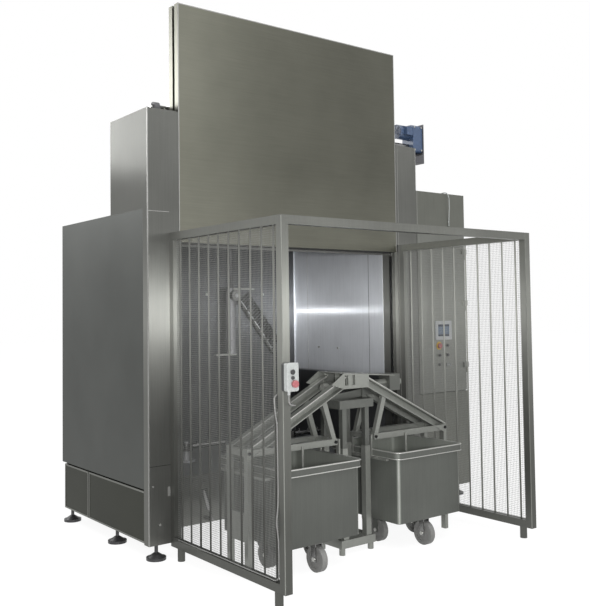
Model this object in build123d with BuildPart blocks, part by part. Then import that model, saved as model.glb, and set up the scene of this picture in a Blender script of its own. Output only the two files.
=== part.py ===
"""Cabinet washer for wheeled 200-litre bins: lift-up door, safety cage, bin loader and control cabinet.

Lengths are millimetres. +Z is up and the front of the machine looks along -Y. The origin lies on the
floor, under the centre of the machine's box. Sizes below are written from the machine's own datum: the
floor point under the middle of the cabinet's front face, with X to the right and Y into the cabinet.
"""
import os
from math import atan2, cos, radians, sin, tan

from build123d import *

os.makedirs("parts", exist_ok=True)

# Cabinet
cabinet_width = 2500
cabinet_depth = 1420
foot_height = 100
plinth_top = 450
body_top = 2285
cladding = 28
skin = 2
sheet = 4
panel_gap = 5
plinth_setback = 10
plinth_split = 953
corner_return = 66
chassis_tube = 60
runner_inset = 75

# Levelling feet
foot_pad = 130
foot_pad_height = 18
foot_shoulder = 8
foot_cone_top = 45
foot_stem = 24
foot_collar = 4
foot_inset_x = 75
foot_inset_y = 45
control_foot_inset = 70

# Towers, header and sill
tower_width = 215
tower_depth = 550
tower_top = 2950
duct_lip = 30
header_front = 190
header_depth = 60
sill_gap = 20
sill_top = 480
sill_height = 100
recess_depth = 300

# Lift-up door
door_gap = 20
door_thickness = 120
door_height = 1625
door_clear = 2070
door_stile = 25
door_vent = 20
guide_width = 28
guide_play = 0.3
groove_depth = 15
seal_height = 8
lug_base = 30
lug_height = 40

# Door drive
shaft_diameter = 36
shaft_y = 165
shaft_rise = 50
shaft_inset = 20
sprocket_pitch_radius = 35
sprocket_teeth = 14
tooth_radius = 3.5
sprocket_width = 8
sprocket_hub = 54
chain_thickness = 12
chain_width = 8
chain_inset = 25
chain_drop = 25
bearing_inset = 65
bearing_width = 40
bearing_depth = 60
bearing_cap = 70
bearing_flange = 14
drive_overhang = 55
motor_diameter = 120
motor_length = 140
motor_rise = 112
motor_cowl = 36
motor_flange = 12
motor_flange_lip = 3
motor_fins = 18
motor_fin_height = 7
motor_fin_width = 3
terminal_width = 65
terminal_height = 64
terminal_depth = 36
terminal_sink = 8
terminal_inset = 45
gearbox_width = 110
gearbox_depth = 130
gearbox_height = 235
gearbox_drop = 55
gearbox_corner = 30
bracket_sheet = 8
bracket_margin = 10
bracket_drop = 98
bracket_gusset = 81
bracket_hole = 26
bracket_hole_inset = 30
bracket_hole_rise = 40
run_play = 0.05

# Wash chamber, tank and pump
ceiling_z = 2200
tank_height = 225
tank_side_gap = 15
tank_end_gap = 12
drain_diameter = 150
drain_dip = 120
outlet_bore = 50
outlet_wall = 5
outlet_flange = 90
outlet_flange_thickness = 8
outlet_z = 220
pump_bay = 150
pump_tray_length = 450
pump_lead = 40
pump_offset = 10
pump_diameter = 150
pump_length = 260
pump_end = 40
pump_fins = 14
pump_fin_height = 6
pump_fin_width = 4
pump_foot = 80
volute_diameter = 170
volute_length = 70
pipe_diameter = 60
pipe_fit = 1

# Spray pipes, lance and arms
column_x = 55
column_y = 1000
column_diameter = 80
column_bottom = 1250
column_top = 1800
drop_diameter = 40
flange_lip = 30
flange_thickness = 12
lance_pivot_z = 1736
lance_length = 625
lance_slope = 52
lance_diameter = 42
lance_pin = 30
lance_hub = 90
lance_hub_length = 40
lance_standoff = 25
nozzle_start = 160
nozzle_pitch = 105
nozzle_count = 5
nozzle_diameter = 18
nozzle_height = 22
arm_x = 505
arm_y = 800
arm_z = 560
arm_length = 700
arm_tube = 40
arm_pin = 30
arm_pin_rise = 40
arm_hub = 100
arm_hub_half = 30
arm_clear = 2
arm_nozzle = 16
arm_nozzle_pitch = 100

# Safety cage
cage_setback = 160
cage_depth = 1235
cage_top = 2128
cage_bottom = 80
cage_tube = 50
bar_count = 10
bar_diameter = 12
cage_foot_diameter = 48
cage_foot_inset = 65

# Control cabinet
control_width = 595
control_depth = 360
control_top = 2592
control_door_bottom = 900
control_door_top = 2270
control_door_thickness = 20
control_door_gap = 6
control_door_skin = 3
control_wall = 3
control_lip = 20
hinge_pin = 10
hinge_wall = 4
hinge_height = 90
hinge_leaf = 40
hinge_gap = 1
hinge_low = 150
hinge_high = 240
screen_width = 196
screen_height = 160
screen_inset = 295
screen_z = 1421
screen_thickness = 12
screen_corner = 8
screen_bezel = 28
screen_recess = 3
control_column = 245
control_pitch = 100
control_row_top = 1291
control_row_pitch = 80
stop_diameter = 44
stop_depth = 16
stop_round = 6
button_diameter = 24
button_depth = 8
button_chamfer = 1.5
button_stem = 12
button_boss = 26
button_ring = 30
button_ring_height = 2
button_travel = 3
button_clear = 1
key_head = 28
key_depth = 10
key_gap = 0.5
key_blade = 5
key_blade_height = 24
key_blade_reach = 40

# Pendant on the left front post of the cage, and the cables
pendant_width = 80
pendant_height = 154
pendant_depth = 48
pendant_corner = 12
pendant_inset = 31
pendant_z = 1245
pendant_bore = 30
pendant_stem = 24
pendant_up_head = 28
pendant_down_head = 20
pendant_stop_head = 40
pendant_key_shift = -4
pendant_key_rise = 28
pendant_key_pitch = 31
pendant_stop_shift = 8
pendant_stop_drop = 36
cable_diameter = 8
gland_wall = 5
pendant_gland_offset = 10
pendant_gland_drop = 20
rail_gland_length = 30
rail_cable_inset = 9
control_cable_x = 377
roof_gland_front = 120
roof_gland_length = 40
panel_gland_shift = 12
panel_gland_rise = 8
panel_gland_height = 28

# Loader mast and carriage
loader_x = -60
loader_y = -555
mast_spacing_x = 200
mast_spacing_y = 190
mast_tube = 44
mast_wall = 4
mast_top = 690
slide_play = 0.3
mast_base_z = 45
mast_base_height = 52
mast_base_length = 300
mast_base_depth = 250
mast_base_rail = 64
mast_foot = 40
mast_foot_inset = 24
anchor_spacing_x = 120
anchor_hole = 14
link_half = 40
link_rise = 10
link_height = 50
rocker_z = 1090
rocker_shaft = 50
head_half_x = 150
head_half_y = 125
head_rail = 62
head_height = 55
head_drop = 85
yoke_plate = 22
yoke_half = 40
beam_half = 30
beam_height = 50
beam_drop = 55
beam_fall = 50
block_start = 375
block_end = 475
block_half = 55
block_rise = 60
shaft_stub = 45

# Rocker hub and wings
cowl_left = -117
cowl_right = 105
cowl_reach = 345
cowl_margin = 15
cowl_rise = 26
cowl_fall = 35
cowl_drop = 105
cowl_ear = 108
cowl_ear_drop = 72
cowl_sheet = 6
saddle_half = 60
saddle_depth = 50
slot_width = 30
slot_height = 66
slot_pitch = 60
slot_offset = -65
slot_inset = 16
rail_width = 50
rail_depth = 60
rail_wall = 8
rail_overlap = 15
wing_inner = 80
wing_reach = 861
wing_top = 1161
wing_end = 772
tie_z = 742
tie_height = 40
tie_width = 40
tie_start = 165
hanger = 30
brace_head = 250
brace_width = 34
brace_thickness = 30
outer_post = 30
outer_post_lap = 10
leg_clear = 12
leg_plate = 8
leg_plate_low = 210
leg_plate_high = 380
rim_bar = 14
rim_bar_length = 500
rim_bar_clear = 3
rim_bar_inner = 28
drop_leg = 12
drop_leg_gap = 3
rod_x_place = 459
rod_diameter = 16
rod_sink = 4
rod_dip = 85

# Bins
bin_width = 640
bin_length = 700
bin_rim_z = 660
bin_floor_z = 190
bin_x = 473
rim_overhang = 20
rim_skirt = 48
rim_corner = 45
bin_sheet = 3
bin_corner = 25
seat_gap = 0.3

# Castors and side wheels
wheel_diameter = 160
wheel_width = 40
wheel_clear = 0.5
wheel_gap = 3
wheel_boss = 52
tyre_depth = 24
dish_depth = 6
axle_diameter = 12
castor_reach = 230
castor_trail = 35
side_wheel_reach = 180
pad_height = 6
pad_side = 110
fork_gap = 2
fork_crown = 8
fork_length = 84
fork_corner = 6
fork_plate = 5
fork_leg = 40
fork_tip = 16
side_leg = 44
swivel_pin = 20
swivel_rise = 1

# Places worked out from the sizes above
half_width = cabinet_width / 2
half_opening = half_width - tower_width
control_left = half_width
control_right = control_left + control_width
machine_x = (half_width - control_right) / 2
outlet_end = cabinet_depth + panel_gap
pendant_reach = cage_depth + pendant_depth + button_travel + button_clear + stop_depth
front_y = (pendant_reach - outlet_end) / 2
inner_side = half_width - cladding
inner_back = cabinet_depth - cladding
shaft_z = tower_top + shaft_rise


def level(z):
    """Horizontal plane at height z; its sketch axes are the machine's X and Y."""
    return Plane(origin=(machine_x, front_y, z))


def side(x):
    """Plane across the machine at x; its sketch axes are Y and Z, its normal is +X."""
    return Plane(origin=(machine_x + x, front_y, 0), x_dir=(0, 1, 0), z_dir=(1, 0, 0))


def front(y):
    """Upright plane at depth y; its sketch axes are X and Z, its normal is -Y."""
    return Plane(origin=(machine_x, front_y + y, 0), x_dir=(1, 0, 0), z_dir=(0, -1, 0))


def block(x, y, z, mode=Mode.ADD):
    """Rectangular block between the pairs of limits x, y and z."""
    with BuildSketch(level(min(z))) as profile:
        with Locations(((x[0] + x[1]) / 2, (y[0] + y[1]) / 2)):
            Rectangle(abs(x[1] - x[0]), abs(y[1] - y[0]))
    extrude(profile.sketch, amount=abs(z[1] - z[0]), mode=mode)


def rod_x(x, y, z, diameter, mode=Mode.ADD):
    """Round bar along X between the limits x."""
    with BuildSketch(side(min(x))) as profile:
        with Locations((y, z)):
            Circle(diameter / 2)
    extrude(profile.sketch, amount=abs(x[1] - x[0]), mode=mode)


def rod_y(x, y, z, diameter, mode=Mode.ADD):
    """Round bar along Y between the limits y."""
    with BuildSketch(front(max(y))) as profile:
        with Locations((x, z)):
            Circle(diameter / 2)
    extrude(profile.sketch, amount=abs(y[1] - y[0]), mode=mode)


def rod_z(x, y, z, diameter, mode=Mode.ADD):
    """Upright round bar between the limits z."""
    with BuildSketch(level(min(z))) as profile:
        with Locations((x, y)):
            Circle(diameter / 2)
    extrude(profile.sketch, amount=abs(z[1] - z[0]), mode=mode)


def tray(x, y, z, open_face):
    """Folded sheet panel: a block hollowed from the face named by open_face."""
    block(x, y, z)
    limits = {"x": sorted(x), "y": sorted(y), "z": sorted(z)}
    inner = {axis: [low + skin, high - skin] for axis, (low, high) in limits.items()}
    axis = open_face[1]
    end = 1 if open_face[0] == "+" else 0
    inner[axis][end] = limits[axis][end]
    block(inner["x"], inner["y"], inner["z"], mode=Mode.SUBTRACT)


def save(piece, name):
    """Name a finished piece and write it out."""
    piece.part.label = name
    export_step(piece.part, f"parts/{name}.step")


def rounded(centre, width, length, radius, z, mode=Mode.ADD):
    """Upright block with rounded corners between the limits z."""
    with BuildSketch(level(min(z))) as profile:
        with Locations(centre):
            RectangleRounded(width, length, radius)
    extrude(profile.sketch, amount=abs(z[1] - z[0]), mode=mode)


def outline(points, y, mode=Mode.ADD):
    """Upright profile drawn in X and Z, filled between the limits y."""
    with BuildSketch(front(max(y))) as profile:
        with BuildLine():
            Polyline(*points, close=True)
        make_face()
    extrude(profile.sketch, amount=abs(y[1] - y[0]), mode=mode)


def around(centre, half):
    """Pair of limits at equal distances from a centre."""
    return (centre - half, centre + half)


# Chassis: a lower and an upper ring of square tube behind the towers, with runners under the sill
ring_low = (foot_height, foot_height + chassis_tube)
ring_high = (plinth_top - sheet - chassis_tube, plinth_top - sheet)
rail_side = (inner_side - chassis_tube, inner_side)
ring_front = (tower_depth, tower_depth + chassis_tube)
ring_back = (inner_back - chassis_tube, inner_back)
runner = (half_opening - runner_inset - chassis_tube, half_opening - runner_inset)
tray_y = (tower_depth + pump_bay, tower_depth + pump_bay + pump_tray_length)
pump_x = -(half_opening + inner_side) / 2 + pump_offset

with BuildPart() as base_frame:
    for ring in (ring_low, ring_high):
        for s in (-1, 1):
            block((s * rail_side[0], s * rail_side[1]), (tower_depth, inner_back), ring)
        block((-rail_side[0], rail_side[0]), ring_back, ring)
    block((-rail_side[0], rail_side[0]), ring_front, ring_low)
    for s in (-1, 1):
        for y in (ring_front, ring_back):
            block((s * rail_side[0], s * rail_side[1]), y, (ring_low[1], ring_high[0]))
        block((s * runner[0], s * runner[1]), (recess_depth, tower_depth), ring_low)
    block((-half_opening, half_opening), (recess_depth, recess_depth + chassis_tube), ring_low)
    pump_tray = (ring_low[1] - sheet, ring_low[1])
    block((-rail_side[0], pump_x + volute_diameter / 2), tray_y, pump_tray)
save(base_frame, "base_frame")

frame_foot_x = inner_side - chassis_tube / 2
control_feet_x = (control_left + foot_inset_x, control_right - foot_inset_x)
control_feet_y = (control_door_thickness + control_foot_inset, control_depth - control_foot_inset)
foot_points = [(s * (half_width - foot_inset_x), foot_inset_y) for s in (-1, 1)]
foot_points += [(s * frame_foot_x, sum(y) / 2) for s in (-1, 1) for y in (ring_front, ring_back)]
foot_points += [(x, y) for x in control_feet_x for y in control_feet_y]
with BuildPart() as levelling_feet:
    for x, y in foot_points:
        rod_z(x, y, (0, foot_pad_height), foot_pad)
        with BuildSketch(level(foot_pad_height)):
            with Locations((x, y)):
                Circle(foot_pad / 2 - foot_shoulder)
        with BuildSketch(level(foot_cone_top)):
            with Locations((x, y)):
                Circle(foot_stem / 2 + foot_collar)
        loft()
        rod_z(x, y, (foot_cone_top, foot_height), foot_stem)
save(levelling_feet, "levelling_feet")

# Outer cladding
side_bottom = plinth_top + panel_gap
with BuildPart() as side_panels:
    tray((-half_width, -inner_side), (corner_return, cabinet_depth), (side_bottom, body_top), "+x")
    tray((inner_side, half_width), (corner_return, cabinet_depth), (side_bottom, body_top), "-x")
save(side_panels, "side_panels")

plinth_z = (foot_height + panel_gap, plinth_top - 2 * panel_gap)
plinth_face = half_width - plinth_setback
rear_plinth = (inner_back, inner_back + cladding - plinth_setback)
outlet_outer = outlet_bore + 2 * outlet_wall
with BuildPart() as plinth_panels:
    for y in ((corner_return + panel_gap, plinth_split - panel_gap), (plinth_split + panel_gap, inner_back)):
        tray((-plinth_face, -inner_side), y, plinth_z, "+x")
        tray((inner_side, plinth_face), y, plinth_z, "-x")
    tray((-inner_side, inner_side), rear_plinth, plinth_z, "-y")
    rod_y(0, (inner_back, cabinet_depth), outlet_z, outlet_outer + 2 * panel_gap, Mode.SUBTRACT)
save(plinth_panels, "plinth_panels")

with BuildPart() as back_panel:
    tray((-inner_side, inner_side), (inner_back, cabinet_depth), (side_bottom, body_top), "-y")
save(back_panel, "back_panel")

with BuildPart() as roof_panel:
    block((-half_width, half_width), (tower_depth, cabinet_depth), (body_top, body_top + sheet))
    block((-half_opening, half_opening), (header_front, tower_depth), (body_top, body_top + sheet))
save(roof_panel, "roof_panel")

# Towers: hollow columns that frame the doorway and rise above the roof
with BuildPart() as towers:
    for s in (-1, 1):
        block((s * half_opening, s * half_width), (0, tower_depth), (foot_height, tower_top))
        notch = (s * inner_side, s * half_width)
        block(notch, (corner_return, tower_depth), (foot_height, body_top), Mode.SUBTRACT)
        hollow = (s * (half_opening + sheet), s * (inner_side - sheet))
        hollow_z = (foot_height + sheet, tower_top - sheet)
        block(hollow, (sheet, tower_depth - sheet), hollow_z, Mode.SUBTRACT)
        duct = (s * (half_opening + duct_lip), s * (inner_side - duct_lip))
        duct_z = (plinth_top, body_top - plinth_top)
        block(duct, (tower_depth - sheet, tower_depth), duct_z, Mode.SUBTRACT)
save(towers, "towers")

chamber_half = half_opening - sheet
with BuildPart() as header_beam:
    block((-chamber_half, chamber_half), (header_front, header_front + header_depth), (door_clear, body_top))
    inside = (header_front + sheet, header_front + header_depth)
    block((-chamber_half, chamber_half), inside, (door_clear + sheet, body_top - sheet), Mode.SUBTRACT)
save(header_beam, "header_beam")

# Sill: a box beam behind the door, with a soffit and an apron that close the recess under it
sill_front = door_thickness + sill_gap
sill_z = (sill_top - sill_height, sill_top)
sill_x = (-half_opening, half_opening)
with BuildPart() as sill:
    block(sill_x, (sill_front, header_front), sill_z)
    inside = (sill_front + sheet, header_front - sheet)
    block(sill_x, inside, (sill_z[0] + sheet, sill_z[1] - sheet), Mode.SUBTRACT)
    block(sill_x, (header_front, recess_depth), (sill_z[0], sill_z[0] + sheet))
    block(sill_x, (recess_depth - sheet, recess_depth), (foot_height + panel_gap, sill_z[0] + sheet))
save(sill, "sill")

# Wash chamber lining
chamber_back = inner_back - sheet
ceiling = (ceiling_z, ceiling_z + sheet)
with BuildPart() as chamber_walls:
    for s in (-1, 1):
        block((s * chamber_half, s * half_opening), (header_front, chamber_back), (plinth_top, ceiling_z))
    block((-half_opening, half_opening), (chamber_back, inner_back), (plinth_top, ceiling_z))
    block((-half_opening, half_opening), (header_front + header_depth, inner_back), ceiling)
    rod_z(column_x, column_y, ceiling, pipe_diameter, Mode.SUBTRACT)
save(chamber_walls, "chamber_walls")

tank_top = ring_low[1] + tank_height
drain_y = (ring_front[1] + ring_back[0]) / 2
drain_z = (tank_top - drain_dip, plinth_top)
with BuildPart() as chamber_floor:
    block((-chamber_half, chamber_half), (header_front, chamber_back), (plinth_top - sheet, plinth_top))
    rod_z(0, drain_y, drain_z, drain_diameter)
    rod_z(0, drain_y, drain_z, drain_diameter - 2 * sheet, Mode.SUBTRACT)
save(chamber_floor, "chamber_floor")

# Water system
tank_half = half_opening - tank_side_gap
tank_y = (tower_depth + tank_end_gap, inner_back - tank_end_gap)
tank_z = (ring_low[1], tank_top)
with BuildPart() as wash_tank:
    block((-tank_half, tank_half), tank_y, tank_z)
    hollow_x = (-tank_half + sheet, tank_half - sheet)
    hollow_y = (tank_y[0] + sheet, tank_y[1] - sheet)
    block(hollow_x, hollow_y, (tank_z[0] + sheet, tank_z[1]), Mode.SUBTRACT)
    rod_y(0, (hollow_y[1], tank_y[1]), outlet_z, outlet_bore, Mode.SUBTRACT)
save(wash_tank, "wash_tank")

pump_z = ring_low[1] + volute_diameter / 2
pump_y = (tray_y[0] + pump_lead, tray_y[0] + pump_lead + pump_length)
volute_y = (pump_y[1], pump_y[1] + volute_length)
with BuildPart() as wash_pump:
    rod_y(pump_x, pump_y, pump_z, pump_diameter - 2 * pump_fin_height)
    with BuildSketch(front(pump_y[1] - pump_end)):
        with Locations((pump_x, pump_z)):
            with PolarLocations(pump_diameter / 2 - pump_fin_height, pump_fins):
                Rectangle(2 * pump_fin_height, pump_fin_width)
    extrude(amount=pump_length - 2 * pump_end)
    rod_y(pump_x, volute_y, pump_z, volute_diameter)
    block(around(pump_x, pump_foot / 2), (pump_y[0] + pump_end, volute_y[1]), (ring_low[1], pump_z))
save(wash_pump, "wash_pump")

suction_y = volute_y[1] + pipe_diameter
riser_y = sum(volute_y) / 2
riser_top = (ceiling[1] + body_top) / 2
elbows = [(pump_x, suction_y, pump_z), (pump_x, riser_y, riser_top)]
elbows += [(column_x, riser_y, riser_top), (column_x, column_y, riser_top)]
with BuildPart() as supply_pipes:
    rod_x((pump_x, -tank_half), suction_y, pump_z, pipe_diameter)
    rod_y(pump_x, (volute_y[1], suction_y), pump_z, pipe_diameter)
    rod_z(pump_x, riser_y, (pump_z + volute_diameter / 2, riser_top), pipe_diameter)
    rod_x((pump_x, column_x), riser_y, riser_top, pipe_diameter)
    rod_y(column_x, (column_y, riser_y), riser_top, pipe_diameter)
    rod_z(column_x, column_y, (ceiling[1], riser_top), pipe_diameter)
    with Locations(level(0)):
        with Locations(*elbows):
            Sphere(pipe_diameter / 2)
    rod_y(0, (tank_y[1], outlet_end), outlet_z, outlet_outer)
    rod_y(0, (tank_y[1], tank_y[1] + outlet_flange_thickness), outlet_z, outlet_flange)
    rod_y(0, (tank_y[1], outlet_end), outlet_z, outlet_bore, Mode.SUBTRACT)
save(supply_pipes, "supply_pipes")

arm_stub = arm_z - arm_hub_half
flange_diameter = column_diameter + 2 * flange_lip
lance_y = column_y - column_diameter / 2 - lance_standoff
with BuildPart() as spray_pipes:
    rod_z(column_x, column_y, ceiling, pipe_diameter - 2 * pipe_fit)
    rod_z(column_x, column_y, (ceiling_z - flange_thickness, ceiling_z), flange_diameter)
    rod_z(column_x, column_y, (column_top, ceiling_z), drop_diameter)
    rod_z(column_x, column_y, (column_bottom, column_top), column_diameter)
    rod_y(column_x, (lance_y - lance_hub_length / 2, column_y), lance_pivot_z, lance_pin)
    for s in (-1, 1):
        rod_z(s * arm_x, arm_y, (plinth_top, plinth_top + flange_thickness), flange_diameter)
        rod_z(s * arm_x, arm_y, (plinth_top, arm_stub), pipe_diameter)
        rod_z(s * arm_x, arm_y, (arm_stub, arm_z + arm_pin_rise), arm_pin)
save(spray_pipes, "spray_pipes")

# Spray lance that swings on the column
lance_bore = lance_pin + 2 * run_play
lance_dir = Vector(cos(radians(lance_slope)), 0, -sin(radians(lance_slope)))
pivot = Vector(machine_x + column_x, front_y + lance_y, lance_pivot_z)
with BuildPart() as spray_lance:
    rod_y(column_x, around(lance_y, lance_hub_length / 2), lance_pivot_z, lance_hub)
    with BuildSketch(Plane(origin=pivot, x_dir=(0, 1, 0), z_dir=lance_dir)):
        Circle(lance_diameter / 2)
    extrude(amount=lance_length)
    for i in range(nozzle_count):
        place = pivot + lance_dir * (nozzle_start + i * nozzle_pitch)
        with BuildSketch(Plane(origin=place, z_dir=(0, -1, 0))):
            Circle(nozzle_diameter / 2)
        extrude(amount=lance_diameter / 2 + nozzle_height)
    rod_y(column_x, around(lance_y, lance_hub_length), lance_pivot_z, lance_bore, Mode.SUBTRACT)
save(spray_lance, "spray_lance")

hub_z = (arm_stub + arm_clear, arm_z + arm_hub_half)
nozzle_top = arm_z + arm_tube / 2 + arm_nozzle
for s, name in ((-1, "left"), (1, "right")):
    with BuildPart() as spray_arm:
        rod_z(s * arm_x, arm_y, hub_z, arm_hub)
        rod_x(around(s * arm_x, arm_length / 2), arm_y, arm_z, arm_tube)
        for i in (-3, -2, -1, 1, 2, 3):
            rod_z(s * arm_x + i * arm_nozzle_pitch, arm_y, (arm_z, nozzle_top), arm_nozzle)
        rod_z(s * arm_x, arm_y, hub_z, arm_pin + 2 * run_play, Mode.SUBTRACT)
    save(spray_arm, f"spray_arm_{name}")

# Lift-up door, raised
door_half = half_opening - door_gap
door_z = (door_clear, door_clear + door_height)
guide_y = around(door_thickness / 2, guide_width / 2)
groove_y = around(door_thickness / 2, guide_width / 2 + guide_play)
chain_y = shaft_y - sprocket_pitch_radius
chain_x = door_half - chain_inset
lug_z = (door_clear + lug_base, door_clear + lug_base + lug_height)
with BuildPart() as lift_door:
    block((-door_half, door_half), (0, door_thickness), door_z)
    void_x = (-door_half + door_stile, door_half - door_stile)
    block(void_x, (skin, door_thickness - skin), (door_z[0] + skin, door_z[1] - skin), Mode.SUBTRACT)
    for s in (-1, 1):
        groove = (s * door_half, s * (door_half - groove_depth))
        block(groove, groove_y, door_z, Mode.SUBTRACT)
        lug = around(s * chain_x, chain_thickness)
        block(lug, (door_thickness, chain_y + chain_thickness / 2), lug_z)
        vent_z = (door_z[0], door_z[0] + skin)
        rod_z(s * door_half / 2, door_thickness / 4, vent_z, door_vent, Mode.SUBTRACT)
save(lift_door, "lift_door")

with BuildPart() as door_seal:
    seal_half = door_half - groove_depth
    block((-seal_half, seal_half), guide_y, (door_clear - seal_height, door_clear))
save(door_seal, "door_seal")

guide_tip = door_half - groove_depth + 2 * guide_play
with BuildPart() as door_guides:
    for s in (-1, 1):
        block((s * guide_tip, s * half_opening), guide_y, (plinth_top, tower_top))
save(door_guides, "door_guides")

# Door drive above the towers
drive_left = half_width - drive_overhang
motor_x = (drive_left, drive_left + motor_length)
gearbox_x = (motor_x[1], motor_x[1] + gearbox_width)
bearing_x = half_opening + bearing_inset
with BuildPart() as lift_shaft:
    rod_x((-bearing_x - bearing_width, gearbox_x[1] - shaft_inset), shaft_y, shaft_z, shaft_diameter)
    for s in (-1, 1):
        rod_x(around(s * chain_x, chain_thickness), shaft_y, shaft_z, sprocket_hub)
        with BuildSketch(side(s * chain_x - sprocket_width / 2)):
            with Locations((shaft_y, shaft_z)):
                Circle(sprocket_pitch_radius)
                with PolarLocations(sprocket_pitch_radius, sprocket_teeth):
                    Circle(tooth_radius)
        extrude(amount=sprocket_width)
save(lift_shaft, "lift_shaft")

shaft_bore = shaft_diameter + 2 * run_play
with BuildPart() as shaft_bearings:
    for s in (-1, 1):
        x = around(s * bearing_x, bearing_width / 2)
        block(x, around(shaft_y, bearing_depth / 2), (tower_top, shaft_z))
        rod_x(x, shaft_y, shaft_z, bearing_cap)
        block(x, around(shaft_y, bearing_depth), (tower_top, tower_top + bearing_flange))
        rod_x(x, shaft_y, shaft_z, shaft_bore, Mode.SUBTRACT)
save(shaft_bearings, "shaft_bearings")

gearbox_y = around(shaft_y, gearbox_depth / 2)
gearbox_z = (shaft_z - gearbox_drop, shaft_z - gearbox_drop + gearbox_height)
motor_z = shaft_z + motor_rise
motor_front = shaft_y - motor_diameter / 2 + terminal_sink
with BuildPart() as gearmotor:
    block(gearbox_x, gearbox_y, gearbox_z)
    fillet(gearmotor.edges().filter_by(Axis.X), gearbox_corner)
    rod_x(motor_x, shaft_y, motor_z, motor_diameter - 2 * motor_fin_height)
    rod_x((motor_x[0], motor_x[0] + motor_cowl), shaft_y, motor_z, motor_diameter)
    rod_x((motor_x[1] - motor_flange, motor_x[1]), shaft_y, motor_z, motor_diameter + 2 * motor_flange_lip)
    with BuildSketch(side(motor_x[0] + motor_cowl)):
        with Locations((shaft_y, motor_z)):
            with PolarLocations(motor_diameter / 2 - motor_fin_height, motor_fins):
                Rectangle(2 * motor_fin_height, motor_fin_width)
    extrude(amount=motor_length - motor_cowl - motor_flange)
    terminal_x = (motor_x[0] + terminal_inset, motor_x[0] + terminal_inset + terminal_width)
    block(terminal_x, (motor_front - terminal_depth, motor_front), around(motor_z, terminal_height / 2))
    rod_x(gearbox_x, shaft_y, shaft_z, shaft_bore, Mode.SUBTRACT)
save(gearmotor, "gearmotor")

bracket_x = (gearbox_x[1], gearbox_x[1] + bracket_sheet)
bracket_y = (gearbox_y[0] - bracket_margin, gearbox_y[1] + bracket_margin)
bracket_z = (tower_top - bracket_drop, gearbox_z[1] + bracket_margin)
shelf_top = bracket_z[0] + bracket_sheet
with BuildPart() as motor_plate:
    block(bracket_x, bracket_y, bracket_z)
    block((half_width, bracket_x[0]), bracket_y, (bracket_z[0], shelf_top))
    gusset = [(half_width, shelf_top), (bracket_x[0], shelf_top)]
    gusset += [(bracket_x[0], bracket_z[0] + bracket_gusset)]
    for y in (bracket_y[0], bracket_y[1] - bracket_sheet):
        outline(gusset, (y, y + bracket_sheet))
    hole_y = bracket_y[1] - bracket_hole_inset
    rod_x(bracket_x, hole_y, bracket_z[0] + bracket_hole_rise, bracket_hole, Mode.SUBTRACT)
save(motor_plate, "motor_plate")

with BuildPart() as door_chains:
    for s in (-1, 1):
        strand_x = around(s * chain_x, chain_thickness / 2)
        block(strand_x, around(chain_y, chain_width / 2), (lug_z[1], shaft_z - chain_drop))
save(door_chains, "door_chains")

# Safety cage: two barred wings and the rail that joins them
cage_half = half_width - cage_setback
wing_front = (-cage_depth, -cage_depth + cage_tube)
wing_back = (-cage_tube, 0)
bar_pitch = (cage_depth - 2 * cage_tube) / bar_count
bar_z = (cage_bottom + cage_tube / 2, cage_top - cage_tube / 2)
foot_offset = cage_foot_inset + cage_tube / 2
foot_y = (wing_front[0] + foot_offset, wing_back[1] - foot_offset)
gland_half = cable_diameter / 2 + gland_wall
on_rail = cage_bottom + cage_tube
rail_cable_x = -cage_half + rail_cable_inset
rail_cable_z = on_rail + cable_diameter / 2 + seat_gap
rail_gland_y = (wing_back[0] - rail_gland_length, wing_back[0])
for s, name in ((-1, "left"), (1, "right")):
    with BuildPart() as cage_wing:
        tube_x = (s * (cage_half - cage_tube), s * cage_half)
        mid_x = s * (cage_half - cage_tube / 2)
        for y in (wing_front, wing_back):
            block(tube_x, y, (cage_bottom, cage_top))
        for z in ((cage_bottom, cage_bottom + cage_tube), (cage_top - cage_tube, cage_top)):
            block(tube_x, (wing_front[1], wing_back[0]), z)
        for i in range(bar_count):
            rod_z(mid_x, wing_front[1] + (i + 0.5) * bar_pitch, bar_z, bar_diameter)
        for y in foot_y:
            rod_z(mid_x, y, (0, cage_bottom), cage_foot_diameter)
        if name == "left":
            block(around(rail_cable_x, gland_half), rail_gland_y, (on_rail, rail_cable_z + gland_half))
    save(cage_wing, f"cage_{name}")

with BuildPart() as cage_top_rail:
    rail_half = cage_half - cage_tube
    block((-rail_half, rail_half), wing_front, (cage_top - cage_tube, cage_top))
save(cage_top_rail, "cage_top_rail")

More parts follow.
